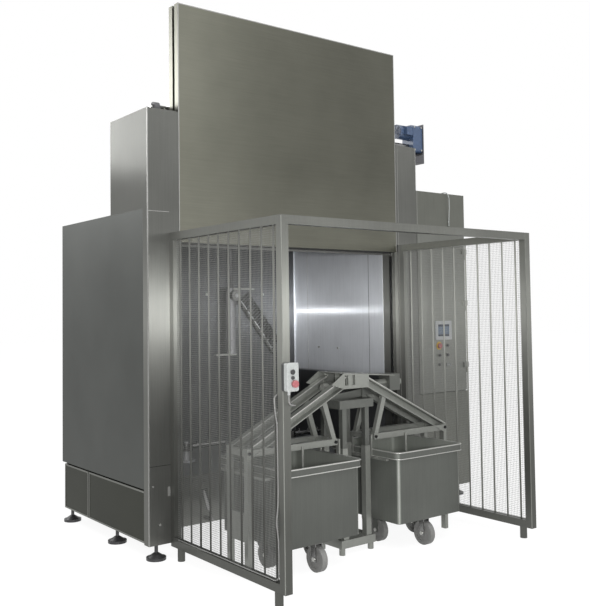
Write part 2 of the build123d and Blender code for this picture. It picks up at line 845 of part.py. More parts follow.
# Control cabinet
shell_y = (control_door_thickness, control_depth)
shell_z = (foot_height, control_top)
control_door_x = (control_left + control_door_gap, control_right - control_door_gap)
control_door_z = (control_door_bottom, control_door_top)
hinge_x = control_right + hinge_pin / 2
hinge_y = -hinge_pin / 2
hinge_levels = (control_door_bottom + hinge_low, sum(control_door_z) / 2, control_door_top - hinge_high)
lower_plate_z = (foot_height, control_door_bottom - control_door_gap)
upper_plate_z = (control_door_top + control_door_gap, control_top)
cable_x = control_left + control_cable_x
panel_gland_x = cable_x + panel_gland_shift
roof_gland_y = (roof_gland_front, roof_gland_front + roof_gland_length)
panel_gland_low = upper_plate_z[0] + panel_gland_rise
panel_gland_z = (panel_gland_low, panel_gland_low + panel_gland_height)
with BuildPart() as control_cabinet:
    block((control_left, control_right), shell_y, shell_z)
    for z in (lower_plate_z, upper_plate_z):
        block((control_left, control_right), (0, control_door_thickness), z)
    hollow_x = (control_left + control_wall, control_right - control_wall)
    hollow_y = (shell_y[0] + control_wall, shell_y[1] - control_wall)
    block(hollow_x, hollow_y, (shell_z[0] + control_wall, shell_z[1] - control_wall), Mode.SUBTRACT)
    mouth_x = (control_left + control_lip, control_right - control_lip)
    mouth_z = (control_door_bottom + control_lip, control_door_top - control_lip)
    block(mouth_x, (shell_y[0], shell_y[0] + control_wall), mouth_z, Mode.SUBTRACT)
    for z in hinge_levels:
        leaf_x = (control_right, control_right + control_wall)
        block(leaf_x, (hinge_y, shell_y[0] + hinge_leaf), (z, z + hinge_height / 2))
        rod_z(hinge_x, hinge_y, (z, z + hinge_height), hinge_pin)
    block(around(cable_x, gland_half), roof_gland_y, (control_top, control_top + 2 * gland_half))
    block(around(panel_gland_x, gland_half), (-2 * gland_half, 0), panel_gland_z)
save(control_cabinet, "control_cabinet")

column_left = control_left + control_column
column_right = column_left + control_pitch
control_points = {
    "stop": (column_left, control_row_top),
    "start_button": (column_right, control_row_top),
    "door_button": (column_left, control_row_top - control_row_pitch),
    "lift_button": (column_right, control_row_top - control_row_pitch),
    "key": (column_right, control_row_top - 2 * control_row_pitch),
}
knuckle = hinge_pin + 2 * hinge_wall
stem_bore = button_stem + 2 * run_play
with BuildPart() as control_door:
    block(control_door_x, (0, control_door_thickness), control_door_z)
    inner_x = (control_door_x[0] + skin, control_door_x[1] - skin)
    inner_y = (control_door_skin, control_door_thickness)
    block(inner_x, inner_y, (control_door_z[0] + skin, control_door_z[1] - skin), Mode.SUBTRACT)
    for x, z in control_points.values():
        rod_y(x, inner_y, z, button_boss)
        rod_y(x, (-button_ring_height, 0), z, button_ring)
    for z in hinge_levels:
        knuckle_z = (z + hinge_height / 2 + hinge_gap, z + hinge_height)
        rod_z(hinge_x, hinge_y, knuckle_z, knuckle)
        block((control_door_x[1] - hinge_leaf, hinge_x), (hinge_y - knuckle / 2, 0), knuckle_z)
        rod_z(hinge_x, hinge_y, knuckle_z, hinge_pin + 2 * run_play, Mode.SUBTRACT)
    for x, z in control_points.values():
        rod_y(x, (-button_ring_height, control_door_thickness), z, stem_bore, Mode.SUBTRACT)
save(control_door, "control_door")

screen_x = around(control_left + screen_inset, screen_width / 2)
screen_z_limits = around(screen_z, screen_height / 2)
with BuildPart() as touch_screen:
    block(screen_x, (-screen_thickness, 0), screen_z_limits)
    fillet(touch_screen.edges().filter_by(Axis.Y), screen_corner)
    pane_x = (screen_x[0] + screen_bezel, screen_x[1] - screen_bezel)
    pane_z = (screen_z_limits[0] + screen_bezel, screen_z_limits[1] - screen_bezel)
    block(pane_x, (-screen_thickness, -screen_thickness + screen_recess), pane_z, Mode.SUBTRACT)
save(touch_screen, "touch_screen")


def press_button(x, z, head_back, head, head_depth, stem_length):
    """Button with a round head in front of head_back and a stem that runs back from there."""
    rod_y(x, (head_back - head_depth, head_back), z, head)
    rod_y(x, (head_back, head_back + stem_length), z, button_stem)


button_back = -button_ring_height - button_travel - button_clear
with BuildPart() as control_stop:
    press_button(*control_points["stop"], button_back, stop_diameter, stop_depth, control_door_thickness)
    fillet(control_stop.faces().sort_by(Axis.Y)[0].edges(), stop_round)
save(control_stop, "control_stop")

for name in ("start_button", "door_button", "lift_button"):
    with BuildPart() as push_button:
        place = control_points[name]
        press_button(*place, button_back, button_diameter, button_depth, control_door_thickness)
        chamfer(push_button.faces().sort_by(Axis.Y)[0].edges(), button_chamfer)
    save(push_button, name)

key_x, key_z = control_points["key"]
key_back = -button_ring_height - key_gap
with BuildPart() as key_switch:
    press_button(key_x, key_z, key_back, key_head, key_depth, control_door_thickness)
    blade_y = (key_back - key_blade_reach, key_back - key_depth / 2)
    block(around(key_x, key_blade / 2), blade_y, around(key_z, key_blade_height / 2))
save(key_switch, "key_switch")

over_roof = control_top + gland_half
control_cable_route = [
    (cable_x, roof_gland_y[0], over_roof),
    (cable_x, roof_gland_y[0] - 45, over_roof),
    (cable_x, roof_gland_y[0] - 92, over_roof + 6),
    (cable_x + 1, -8, over_roof - 4),
    (cable_x + 2, -24, over_roof - 41),
    (cable_x + 2, -27, over_roof - 96),
    (cable_x + 5, -22, over_roof - 158),
    (cable_x + 10, -13, over_roof - 210),
    (panel_gland_x, -gland_half, panel_gland_z[1] + 45),
    (panel_gland_x, -gland_half, panel_gland_z[1]),
]


def corner_radii(points, share=0.45):
    """Radius of each bend: as large as its two straight runs allow."""
    radii = []
    for a, b, c in zip(points, points[1:], points[2:]):
        into = Vector(*b) - Vector(*a)
        out = Vector(*c) - Vector(*b)
        turn = into.get_angle(out)
        radii.append(share * min(into.length, out.length) / tan(radians(turn) / 2))
    return radii


def cable(points):
    """Round cable along straight runs joined by arcs."""
    placed = [(machine_x + x, front_y + y, z) for x, y, z in points]
    with BuildLine():
        route = FilletPolyline(*placed, radius=corner_radii(placed))
    with BuildSketch(Plane(origin=route @ 0, z_dir=route % 0)) as profile:
        Circle(cable_diameter / 2)
    sweep(profile.sketch, path=route)


with BuildPart() as control_cable:
    cable(control_cable_route)
save(control_cable, "control_cable")

# Pendant on the cage post
pendant_x = -cage_half + pendant_inset
pendant_y = (-cage_depth - pendant_depth, -cage_depth)
pendant_x_limits = around(pendant_x, pendant_width / 2)
pendant_z_limits = around(pendant_z, pendant_height / 2)
pendant_key_x = pendant_x + pendant_key_shift
pendant_key_z = pendant_z + pendant_key_rise
pendant_stop_x = pendant_x + pendant_stop_shift
pendant_keys = {
    "pendant_up": (pendant_key_x, pendant_key_z, pendant_up_head, button_depth),
    "pendant_down": (pendant_key_x, pendant_key_z - pendant_key_pitch, pendant_down_head, button_depth),
    "pendant_stop": (pendant_stop_x, pendant_z - pendant_stop_drop, pendant_stop_head, stop_depth),
}
gland_x = pendant_x - pendant_gland_offset
gland_y = -cage_depth - pendant_depth / 2
gland_z = pendant_z_limits[0] - pendant_gland_drop
with BuildPart() as pendant_box:
    block(pendant_x_limits, pendant_y, pendant_z_limits)
    fillet(pendant_box.edges().filter_by(Axis.Y), pendant_corner)
    rod_z(gland_x, gland_y, (gland_z, pendant_z_limits[0]), 2 * gland_half)
    for x, z, head, depth in pendant_keys.values():
        rod_y(x, (pendant_y[0], pendant_y[0] + pendant_bore), z, stem_bore, Mode.SUBTRACT)
save(pendant_box, "pendant_box")

pendant_back = pendant_y[0] - button_travel - button_clear
for name, (x, z, head, depth) in pendant_keys.items():
    with BuildPart() as pendant_key:
        press_button(x, z, pendant_back, head, depth, pendant_stem)
        chamfer(pendant_key.faces().sort_by(Axis.Y)[0].edges(), button_chamfer)
    save(pendant_key, name)

inside_post = -cage_half + cage_tube + cable_diameter / 2 + seat_gap
behind_post = wing_front[1] + cable_diameter / 2 + seat_gap
pendant_route = [
    (gland_x, gland_y, gland_z),
    (gland_x, gland_y, gland_z - 52),
    (inside_post + 24, gland_y + 2, gland_z - 62),
    (inside_post + 24, behind_post + 5, gland_z - 48),
    (-cage_half + 28, behind_post + 5, gland_z + 4),
    (-cage_half - 18, behind_post + 3, gland_z - 8),
    (-cage_half - 15, behind_post, gland_z - 95),
    (-cage_half - 2, behind_post, gland_z - 160),
    (-cage_half - 1, behind_post + 1, gland_z - 275),
    (-cage_half + 1, behind_post, gland_z - 410),
    (-cage_half + 1, behind_post + 1, gland_z - 545),
    (-cage_half - 4, behind_post, gland_z - 620),
    (-cage_half - 15, behind_post, gland_z - 690),
    (-cage_half - 2, behind_post, gland_z - 770),
    (-cage_half + 1, behind_post + 1, gland_z - 860),
    (-cage_half + 6, behind_post + 6, gland_z - 985),
    (rail_cable_x, behind_post + 40, rail_cable_z),
    (rail_cable_x + 3, behind_post + 130, rail_cable_z),
    (rail_cable_x - 1, behind_post + 310, rail_cable_z),
    (rail_cable_x + 3, behind_post + 570, rail_cable_z),
    (rail_cable_x, behind_post + 860, rail_cable_z),
    (rail_cable_x, rail_gland_y[0], rail_cable_z),
]
with BuildPart() as pendant_cable:
    cable(pendant_route)
save(pendant_cable, "pendant_cable")

# Loader mast: a floor base with four square sleeves and a link to the machine
rail_y = around(loader_y, mast_spacing_y / 2)
post_x = around(loader_x, mast_spacing_x / 2)
post_half = mast_tube / 2 - mast_wall - slide_play
base_x = around(loader_x, mast_base_length / 2)
base_y = around(loader_y, mast_base_depth / 2)
base_z = (mast_base_z, mast_base_z + mast_base_height)
link_x = around(loader_x, link_half)
link_z = (foot_height + link_rise, foot_height + link_rise + link_height)
with BuildPart() as mast:
    block(base_x, base_y, base_z)
    inside_x = (base_x[0] + mast_base_rail, base_x[1] - mast_base_rail)
    inside_y = (base_y[0] + mast_base_rail, base_y[1] - mast_base_rail)
    block(inside_x, inside_y, base_z, Mode.SUBTRACT)
    block(link_x, (base_y[1] - link_half, base_y[1]), (base_z[1], link_z[1]))
    block(link_x, (base_y[1] - link_half, recess_depth - sheet), link_z)
    for x in post_x:
        for y in rail_y:
            block(around(x, mast_tube / 2), around(y, mast_tube / 2), (base_z[1], mast_top))
            bore = mast_tube / 2 - mast_wall
            block(around(x, bore), around(y, bore), (base_z[1], mast_top), Mode.SUBTRACT)
    for x in (base_x[0] + mast_foot_inset, base_x[1] - mast_foot_inset):
        for y in (base_y[0] + mast_foot_inset, base_y[1] - mast_foot_inset):
            rod_z(x, y, (0, mast_base_z), mast_foot)
    for x in around(loader_x, anchor_spacing_x / 2):
        for y in rail_y:
            rod_z(x, y, base_z, anchor_hole, Mode.SUBTRACT)
save(mast, "mast")

# Carriage: posts that slide in the sleeves, a head with two yoke plates, and a beam to the outer bearing
head_x = around(loader_x, head_half_x)
head_y = around(loader_y, head_half_y)
head_z = (rocker_z - head_drop - head_height, rocker_z - head_drop)
bearing_block = (loader_x + block_start, loader_x + block_end)
beam_z = rocker_z - beam_drop
rocker_bore = rocker_shaft + 2 * run_play
with BuildPart() as carriage:
    for x in post_x:
        for y in rail_y:
            block(around(x, post_half), around(y, post_half), (base_z[1] + seat_gap, head_z[0]))
    block(head_x, head_y, head_z)
    inside_x = (head_x[0] + head_rail, head_x[1] - head_rail)
    inside_y = (head_y[0] + head_rail, head_y[1] - head_rail)
    block(inside_x, inside_y, head_z, Mode.SUBTRACT)
    for plate in ((head_x[0], head_x[0] + yoke_plate), (head_x[1] - yoke_plate, head_x[1])):
        block(plate, around(loader_y, yoke_half), (head_z[1], rocker_z))
        rod_x(plate, loader_y, rocker_z, 2 * yoke_half)
    beam = [(head_x[0], beam_z - beam_fall), (bearing_block[0], beam_z)]
    beam += [(x, z + beam_height) for x, z in reversed(beam)]
    outline(beam, around(loader_y, beam_half))
    block(bearing_block, around(loader_y, block_half), (beam_z, rocker_z + block_rise))
    rod_x((head_x[0], bearing_block[1]), loader_y, rocker_z, rocker_bore, Mode.SUBTRACT)
save(carriage, "carriage")

# Rocker hub: the shaft, its saddle and the slotted cowl over it
cowl_y = (rail_y[0] - rail_width / 2 - cowl_margin, rail_y[1] + rail_width / 2 + cowl_margin)
cowl_top = wing_top + cowl_rise
cowl_bottom = cowl_top - cowl_drop
cowl_front = (cowl_y[0], cowl_y[0] + cowl_sheet)
cowl_rear = (cowl_y[1] - cowl_sheet, cowl_y[1])


def cowl_edge(x):
    """Height of the cowl's upper face at x from the loader's centre."""
    return cowl_top - cowl_fall * (x - cowl_left) / (cowl_reach - cowl_left)


with BuildPart() as hub:
    rod_x((head_x[0] - shaft_stub, bearing_block[1] + shaft_stub), loader_y, rocker_z, rocker_shaft)
    saddle_x = around(loader_x, saddle_half)
    block(saddle_x, around(loader_y, saddle_depth / 2), (rocker_z, cowl_edge(saddle_half)))
    for y in rail_y:
        rail_z = (wing_top - rail_depth - rail_overlap, cowl_edge(wing_inner))
        block(around(loader_x, wing_inner), around(y, rail_width / 2), rail_z)
    cover = [(loader_x + x, cowl_edge(x)) for x in (cowl_left, cowl_reach)]
    cover += [(x, z - cowl_sheet) for x, z in reversed(cover)]
    outline(cover, cowl_y)
    cheek = [(loader_x + x, cowl_edge(x)) for x in (cowl_left, cowl_right)]
    cheek += [(loader_x + cowl_right, cowl_bottom), (loader_x + cowl_left, cowl_bottom)]
    cheek += [(loader_x + cowl_left - cowl_ear, cowl_top - cowl_ear_drop)]
    for y in (cowl_front, cowl_rear):
        outline(cheek, y)
    slot_z = (cowl_top - slot_inset - slot_height, cowl_top - slot_inset)
    for x in around(loader_x + slot_offset, slot_pitch / 2):
        block(around(x, slot_width / 2), cowl_front, slot_z, Mode.SUBTRACT)
save(hub, "hub")

# Loader wings: twin sloping channels, tie bars, braces, legs, rim bars and hold-down rods
slope = (wing_end - wing_top) / (wing_reach - wing_inner)
rail_drop = rail_depth / cos(atan2(wing_top - wing_end, wing_reach - wing_inner))
tie_limits = around(tie_z, tie_height / 2)
leg_x = (wing_reach - outer_post_lap, wing_reach - outer_post_lap + outer_post)
cross_y = (rail_y[0], rail_y[1])
rim_bar_z = (bin_rim_z - rim_skirt - seat_gap - rim_bar, bin_rim_z - rim_skirt - seat_gap)
rim_bar_y = around(loader_y, rim_bar_length / 2)
rim_outer = bin_x + bin_width / 2 - rim_overhang + rim_bar_clear
drop_end = bin_x - bin_width / 2 - drop_leg_gap
drop_x = (drop_end - drop_leg, drop_end)
rod_y_place = rail_y[0] - tie_width / 2 - rod_diameter / 2 + rod_sink


def rail_top(x):
    """Height of a sloping channel's upper edge at x from the loader's centre."""
    return wing_top + slope * (x - wing_inner)


def rail_band(start, end, top, bottom):
    """Corners of a band along the channel, at the depths top and bottom under its upper edge."""
    corners = [(start, rail_top(start) - top), (end, rail_top(end) - top)]
    return corners + [(end, rail_top(end) - bottom), (start, rail_top(start) - bottom)]


def across(s, near, far):
    """Limits in X of a stretch between two distances from the loader's centre, on the side s."""
    return (loader_x + s * near, loader_x + s * far)


def mirrored(s, points):
    """Profile points given as distances from the loader's centre, on the side s."""
    return [(loader_x + s * x, z) for x, z in points]


for s, name in ((-1, "left"), (1, "right")):
    with BuildPart() as wing:
        for y in rail_y:
            band = rail_band(wing_inner, wing_reach, 0, rail_drop)
            outline(mirrored(s, band), around(y, rail_width / 2))
            trough = rail_band(wing_inner + rail_wall, wing_reach, rail_wall, rail_drop - rail_wall)
            trough_y = (y - rail_width / 2, y + rail_width / 2 - rail_wall)
            outline(mirrored(s, trough), trough_y, Mode.SUBTRACT)
            block(across(s, tie_start, wing_reach), around(y, tie_width / 2), tie_limits)
            brace = [(x, tie_z) for x in (tie_start, tie_start + brace_width)]
            flange_z = rail_wall / 2 - rail_drop
            brace += [(x, rail_top(x) + flange_z) for x in (brace_head + brace_width, brace_head)]
            outline(mirrored(s, brace), around(y, brace_thickness / 2))
            block(across(s, *leg_x), around(y, tie_width / 2), (leg_clear, wing_end))
            block(across(s, *drop_x), around(y, hanger / 2), (rim_bar_z[0], tie_z + hanger / 2))
        block(across(s, *leg_x), cross_y, tie_limits)
        block(across(s, drop_x[0], tie_start + hanger), cross_y, around(tie_z, hanger / 2))
        plate_y = (rail_y[0] - tie_width / 2, rail_y[1] + tie_width / 2)
        block(across(s, leg_x[1] - leg_plate, leg_x[1]), plate_y, (leg_plate_low, leg_plate_high))
        block(across(s, rim_outer, leg_x[0]), rim_bar_y, rim_bar_z)
        block(across(s, drop_x[0], drop_x[0] + rim_bar_inner), rim_bar_y, rim_bar_z)
        rod_z(loader_x + s * rod_x_place, rod_y_place, (bin_rim_z - rod_dip, tie_z), rod_diameter)
    save(wing, f"wing_{name}")

# Bins on castors
tub_size = (bin_width - 2 * rim_overhang, bin_length - 2 * rim_overhang)
tub_hollow = [length - 2 * bin_sheet for length in tub_size]
rim_hollow = (bin_width - 2 * bin_sheet, bin_length - 2 * bin_sheet)
axle_z = wheel_diameter / 2 + wheel_clear
pad_z = (bin_floor_z - pad_height, bin_floor_z)
crown_z = (pad_z[0] - fork_gap - fork_crown, pad_z[0] - fork_gap)
fork_inner = wheel_width / 2 + wheel_gap
fork_outer = fork_inner + fork_plate
fork_bottom = axle_z - fork_tip


def wheel(x, y):
    """Tyre and disc of one wheel on an axle along X, bored for the axle."""
    width = around(x, wheel_width / 2)
    rod_x(width, y, axle_z, wheel_diameter)
    for start in (width[0], width[1] - dish_depth):
        with BuildSketch(side(start)) as dish:
            with Locations((y, axle_z)):
                Circle(wheel_diameter / 2 - tyre_depth)
                Circle(wheel_boss / 2, mode=Mode.SUBTRACT)
        extrude(dish.sketch, amount=dish_depth, mode=Mode.SUBTRACT)
    rod_x(width, y, axle_z, axle_diameter + 2 * run_play, Mode.SUBTRACT)


def fork_legs(x, y, length, top):
    """Two plates beside a wheel, with the wheel's axle between them."""
    for t in (-1, 1):
        block((x + t * fork_inner, x + t * fork_outer), around(y, length / 2), (fork_bottom, top))
    rod_x(around(x, fork_outer), y, axle_z, axle_diameter)


for s, name in ((-1, "left"), (1, "right")):
    bin_centre = (loader_x + s * bin_x, loader_y)
    swivels = {
        "front": (loader_y - castor_reach, -castor_trail),
        "rear": (loader_y + castor_reach, castor_trail),
    }
    side_points = around(bin_centre[0], side_wheel_reach)
    with BuildPart() as tub:
        skirt_z = (bin_rim_z - rim_skirt, bin_rim_z)
        rounded(bin_centre, bin_width, bin_length, rim_corner, skirt_z)
        under_rim = (skirt_z[0], bin_rim_z - bin_sheet)
        rounded(bin_centre, *rim_hollow, rim_corner - bin_sheet, under_rim, Mode.SUBTRACT)
        rounded(bin_centre, *tub_size, bin_corner, (bin_floor_z, bin_rim_z))
        hollow_z = (bin_floor_z + bin_sheet, bin_rim_z)
        rounded(bin_centre, *tub_hollow, bin_corner - bin_sheet, hollow_z, Mode.SUBTRACT)
        for y, trail in swivels.values():
            block(around(bin_centre[0], pad_side / 2), around(y, pad_side / 2), pad_z)
            rod_z(bin_centre[0], y, pad_z, swivel_pin + 2 * run_play, Mode.SUBTRACT)
        for x in side_points:
            fork_legs(x, loader_y, side_leg, bin_floor_z)
    save(tub, f"bin_{name}")

    with BuildPart() as side_wheels:
        for x in side_points:
            wheel(x, loader_y)
    save(side_wheels, f"bin_{name}_side_wheels")

    for end, (y, trail) in swivels.items():
        x = bin_centre[0]
        with BuildPart() as fork:
            rounded((x, y + trail / 2), 2 * fork_outer, fork_length, fork_corner, crown_z)
            fork_legs(x, y + trail, fork_leg, crown_z[0])
            rod_z(x, y, (crown_z[1], crown_z[1] + pad_height + swivel_rise), swivel_pin)
        save(fork, f"bin_{name}_{end}_fork")

        with BuildPart() as castor_wheel:
            wheel(x, y + trail)
        save(castor_wheel, f"bin_{name}_{end}_wheel")
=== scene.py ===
"""Cabinet washer for wheeled bins, dressed for the photograph's view.

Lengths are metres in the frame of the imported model: +Z up, the doorway faces -Y. Points that go through
at(), and the limits of plates and rods, are millimetres from the machine's datum.
"""
from math import cos, pi, sin

import bmesh
import bpy
from mathutils import Matrix, Vector


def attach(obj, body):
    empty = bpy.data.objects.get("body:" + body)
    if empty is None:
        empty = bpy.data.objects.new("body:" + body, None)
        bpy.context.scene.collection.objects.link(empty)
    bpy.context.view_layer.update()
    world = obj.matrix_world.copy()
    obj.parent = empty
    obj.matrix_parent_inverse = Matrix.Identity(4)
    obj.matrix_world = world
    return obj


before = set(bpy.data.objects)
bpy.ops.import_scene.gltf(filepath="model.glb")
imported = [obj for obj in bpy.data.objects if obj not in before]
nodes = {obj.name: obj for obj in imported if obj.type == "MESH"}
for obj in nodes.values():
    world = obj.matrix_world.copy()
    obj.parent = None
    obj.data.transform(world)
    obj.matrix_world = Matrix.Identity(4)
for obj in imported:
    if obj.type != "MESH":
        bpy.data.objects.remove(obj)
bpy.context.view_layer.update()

scene = bpy.context.scene
scene.view_settings.view_transform = "Standard"

# The machine's own datum, on the floor under the middle of the cabinet's front
MACHINE_X = -0.2975
FRONT_Y = -0.061


def at(x, y, z):
    """Point in the model's frame, given in millimetres from the machine's datum."""
    return Vector((MACHINE_X + x / 1000, FRONT_Y + y / 1000, z / 1000))


# Camera fitted to the photograph's edges
IMAGE_WIDTH = 590
IMAGE_HEIGHT = 606
FOCAL_PIXELS = 829.7
CENTRE_X = 286.2
CENTRE_Y = 275.2
YAW = 0.64952
PITCH = 0.04328
ROLL = 0.01247
EYE = at(-3789.2, -4830.7, 1600)
SENSOR = 36
FAR_CLIP = 200

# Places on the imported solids, in millimetres from the datum
TOWER_OUTSIDE = 1250
TOWER_INSIDE = 1035.2
TOWER_FOOT = 102
TOWER_TOP = 2948
PANEL_SEAM_X = (-1243, -1091)
DOOR_HALF = 1015
DOOR_LOW = 2072
DOOR_TOP = 3694
CONTROL_TOP = 2592
WALL_X = 1031
WALL_SEAM_X = (1030, WALL_X)
WALL_SEAM_Z = (1062, 2190)
CAGE_X = 1065
LOADER_X = -60
LOADER_Y = -555
BIN_X = {"left": -533, "right": 413}
BIN_WIDTH = 640
BIN_LENGTH = 700
BIN_CORNER = 45
AXLE_Z = 80.5
LANCE_PIVOT = (55, 935, 1736)
LANCE_ALONG = (0.616, -0.788)

# Places where a finish, or the painted light and shade on it, changes, in metres of the model's frame
LINING_RIGHT_X = MACHINE_X + 1.02
LINING_FLOOR_Z = 0.45
LINING_SHADE_Z = 1.06
COLUMN_TOP_Z = 1.796
DOOR_LIGHT_Z = 2.35
CAGE_RODS_Y = FRONT_Y - 0.6175
CAGE_RODS_HALF_Y = 0.566
CAGE_RODS_Z = 1.104
CAGE_RODS_HALF_Z = 0.973
CAGE_SHADE_Z = 0.9
TUB_INSIDE_HALF_X = 0.2985
TUB_INSIDE_HALF_Y = 0.3285
TUB_FLOOR_Z = 0.192
TUB_SHEET_HALF_X = 0.2995
PENDANT_DARK_Y = FRONT_Y - 1.257

# Grain of a steel, as the scale of its streaks along X, Y and Z
UPRIGHT = (160, 160, 3)
LEVEL_X = (3, 160, 160)
LEVEL_Y = (160, 3, 160)
EVEN = (60, 60, 60)
LINKS = (20, 20, 400)


def make_camera():
    """Camera at the photograph's viewpoint, with the same framing."""
    flat_ahead = Vector((sin(YAW), cos(YAW), 0))
    right = Vector((cos(YAW), -sin(YAW), 0))
    up = Vector((0, 0, 1))
    ahead = flat_ahead * cos(PITCH) + up * sin(PITCH)
    above = up * cos(PITCH) - flat_ahead * sin(PITCH)
    rolled_right = right * cos(ROLL) - above * sin(ROLL)
    rolled_up = right * sin(ROLL) + above * cos(ROLL)
    data = bpy.data.cameras.new("camera")
    data.sensor_width = SENSOR
    data.lens = FOCAL_PIXELS * SENSOR / IMAGE_HEIGHT
    data.shift_x = (IMAGE_WIDTH / 2 - CENTRE_X) / IMAGE_HEIGHT
    data.shift_y = (CENTRE_Y - IMAGE_HEIGHT / 2) / IMAGE_HEIGHT
    data.clip_end = FAR_CLIP
    camera = bpy.data.objects.new("camera", data)
    axes = Matrix((rolled_right, rolled_up, -ahead)).transposed()
    camera.matrix_world = Matrix.Translation(EYE) @ axes.to_4x4()
    scene.collection.objects.link(camera)
    scene.camera = camera


make_camera()


class Nodes:
    """Small helper that adds shader nodes to a material and links them."""

    def __init__(self, name):
        self.material = bpy.data.materials.new(name)
        self.material.use_nodes = True
        self.tree = self.material.node_tree
        self.shader = self.tree.nodes["Principled BSDF"]

    def add(self, kind, **values):
        node = self.tree.nodes.new(kind)
        for key, value in values.items():
            if hasattr(node, key):
                setattr(node, key, value)
            else:
                node.inputs[key.replace("_", " ")].default_value = value
        return node

    def link(self, source, target):
        self.tree.links.new(source, target)


def led_value(m, socket, share, low, high):
    """Lead one of the shader's values from low to high by a share of nought to one."""
    level = m.add("ShaderNodeMapRange", To_Min=low, To_Max=high)
    m.link(share, level.inputs["Value"])
    m.link(level.outputs["Result"], m.shader.inputs[socket])


def led_tone(m, share, colour, spread):
    """Lead the base colour from a darker to a lighter tone of a colour by a noise."""
    tint = m.add("ShaderNodeValToRGB")
    ends = tint.color_ramp.elements
    ends[0].position = 0.3
    ends[0].color = tuple(c * (1 - spread) for c in colour) + (1,)
    ends[1].position = 0.7
    ends[1].color = tuple(min(1, c * (1 + spread)) for c in colour) + (1,)
    m.link(share, tint.inputs["Fac"])
    m.link(tint.outputs["Color"], m.shader.inputs["Base Color"])


def led_relief(m, share, bump):
    """Fine relief that follows a noise."""
    relief = m.add("ShaderNodeBump", Strength=bump, Distance=0.001)
    m.link(share, relief.inputs["Height"])
    m.link(relief.outputs["Normal"], m.shader.inputs["Normal"])


def steel_nodes(name, colour, grain, rough=0.36, brushed=1.0, metal=1.0, cloud=0.16, bump=0.05, turn=0.0):
    """Brushed stainless steel: fine streaks, slow stains, uneven gloss and a stretched highlight."""
    m = Nodes(name)
    m.coords = m.add("ShaderNodeTexCoord")
    stretch = m.add("ShaderNodeMapping", Scale=grain)
    m.link(m.coords.outputs["Object"], stretch.inputs["Vector"])
    streak = m.add("ShaderNodeTexNoise", Scale=1.0, Detail=5.0, Roughness=0.65)
    m.link(stretch.outputs["Vector"], streak.inputs["Vector"])
    stain = m.add("ShaderNodeTexNoise", Scale=1.6, Detail=4.0, Roughness=0.55)
    m.link(m.coords.outputs["Object"], stain.inputs["Vector"])
    share = m.add("ShaderNodeMix", data_type="FLOAT")
    share.inputs["Factor"].default_value = 0.4
    m.link(stain.outputs["Fac"], share.inputs["A"])
    m.link(streak.outputs["Fac"], share.inputs["B"])
    led_tone(m, share.outputs["Result"], colour, cloud)
    led_value(m, "Roughness", streak.outputs["Fac"], rough - 0.06, rough + 0.06)
    led_relief(m, streak.outputs["Fac"], bump)
    around = m.add("ShaderNodeTangent", direction_type="RADIAL", axis="Z")
    m.link(around.outputs["Tangent"], m.shader.inputs["Tangent"])
    m.shader.inputs["Anisotropic"].default_value = brushed
    m.shader.inputs["Anisotropic Rotation"].default_value = turn
    m.shader.inputs["Metallic"].default_value = metal
    return m


def brushed_steel(name, colour, grain, **looks):
    """Steel with the same tone all over."""
    return steel_nodes(name, colour, grain, **looks).material


def plain_nodes(name, colour, rough=(0.4, 0.6), speckle=0.12, scale=60, metallic=0.0, bump=0.08):
    """Paint, plastic or rubber: a fine mottle in colour, gloss and relief."""
    m = Nodes(name)
    m.coords = m.add("ShaderNodeTexCoord")
    mottle = m.add("ShaderNodeTexNoise", Scale=scale, Detail=4.0, Roughness=0.6)
    m.link(m.coords.outputs["Object"], mottle.inputs["Vector"])
    led_tone(m, mottle.outputs["Fac"], colour, speckle)
    led_value(m, "Roughness", mottle.outputs["Fac"], *rough)
    led_relief(m, mottle.outputs["Fac"], bump)
    m.shader.inputs["Metallic"].default_value = metallic
    return m


def plain_finish(name, colour, **looks):
    """Paint, plastic or rubber with the same tone all over."""
    return plain_nodes(name, colour, **looks).material


def along_axis(m, axis):
    """One of a surface's object coordinates, which are those of the model's frame at rest."""
    split = m.add("ShaderNodeSeparateXYZ")
    m.link(m.coords.outputs["Object"], split.inputs["Vector"])
    return split.outputs[axis]


def step(m, axis, edge, soft):
    """Nought below an edge along one axis and one above it."""
    ramp = m.add("ShaderNodeMapRange", From_Min=edge - soft, From_Max=edge + soft)
    m.link(along_axis(m, axis), ramp.inputs["Value"])
    return ramp.outputs["Result"]


def band(m, axis, centre, half, soft=0.001):
    """One within a distance of a centre along one axis and nought beyond it."""
    away = m.add("ShaderNodeMath", operation="SUBTRACT")
    away.inputs[1].default_value = centre
    m.link(along_axis(m, axis), away.inputs[0])
    size = m.add("ShaderNodeMath", operation="ABSOLUTE")
    m.link(away.outputs[0], size.inputs[0])
    ramp = m.add("ShaderNodeMapRange", From_Min=half - soft, From_Max=half + soft, To_Min=1.0, To_Max=0.0)
    m.link(size.outputs[0], ramp.inputs["Value"])
    return ramp.outputs["Result"]


def both(m, first, second):
    """Product of two shares."""
    product = m.add("ShaderNodeMath", operation="MULTIPLY")
    m.link(first, product.inputs[0])
    m.link(second, product.inputs[1])
    return product.outputs[0]


def scaled_tint(m, share, low, high):
    """Multiply a finish's tone by a factor between low and high, led by a share of nought to one."""
    factor = m.add("ShaderNodeMapRange", To_Min=low, To_Max=high)
    m.link(share, factor.inputs["Value"])
    source = m.shader.inputs["Base Color"].links[0].from_socket
    product = m.add("ShaderNodeVectorMath", operation="SCALE")
    m.link(source, product.inputs["Vector"])
    m.link(factor.outputs["Result"], product.inputs["Scale"])
    m.link(product.outputs["Vector"], m.shader.inputs["Base Color"])


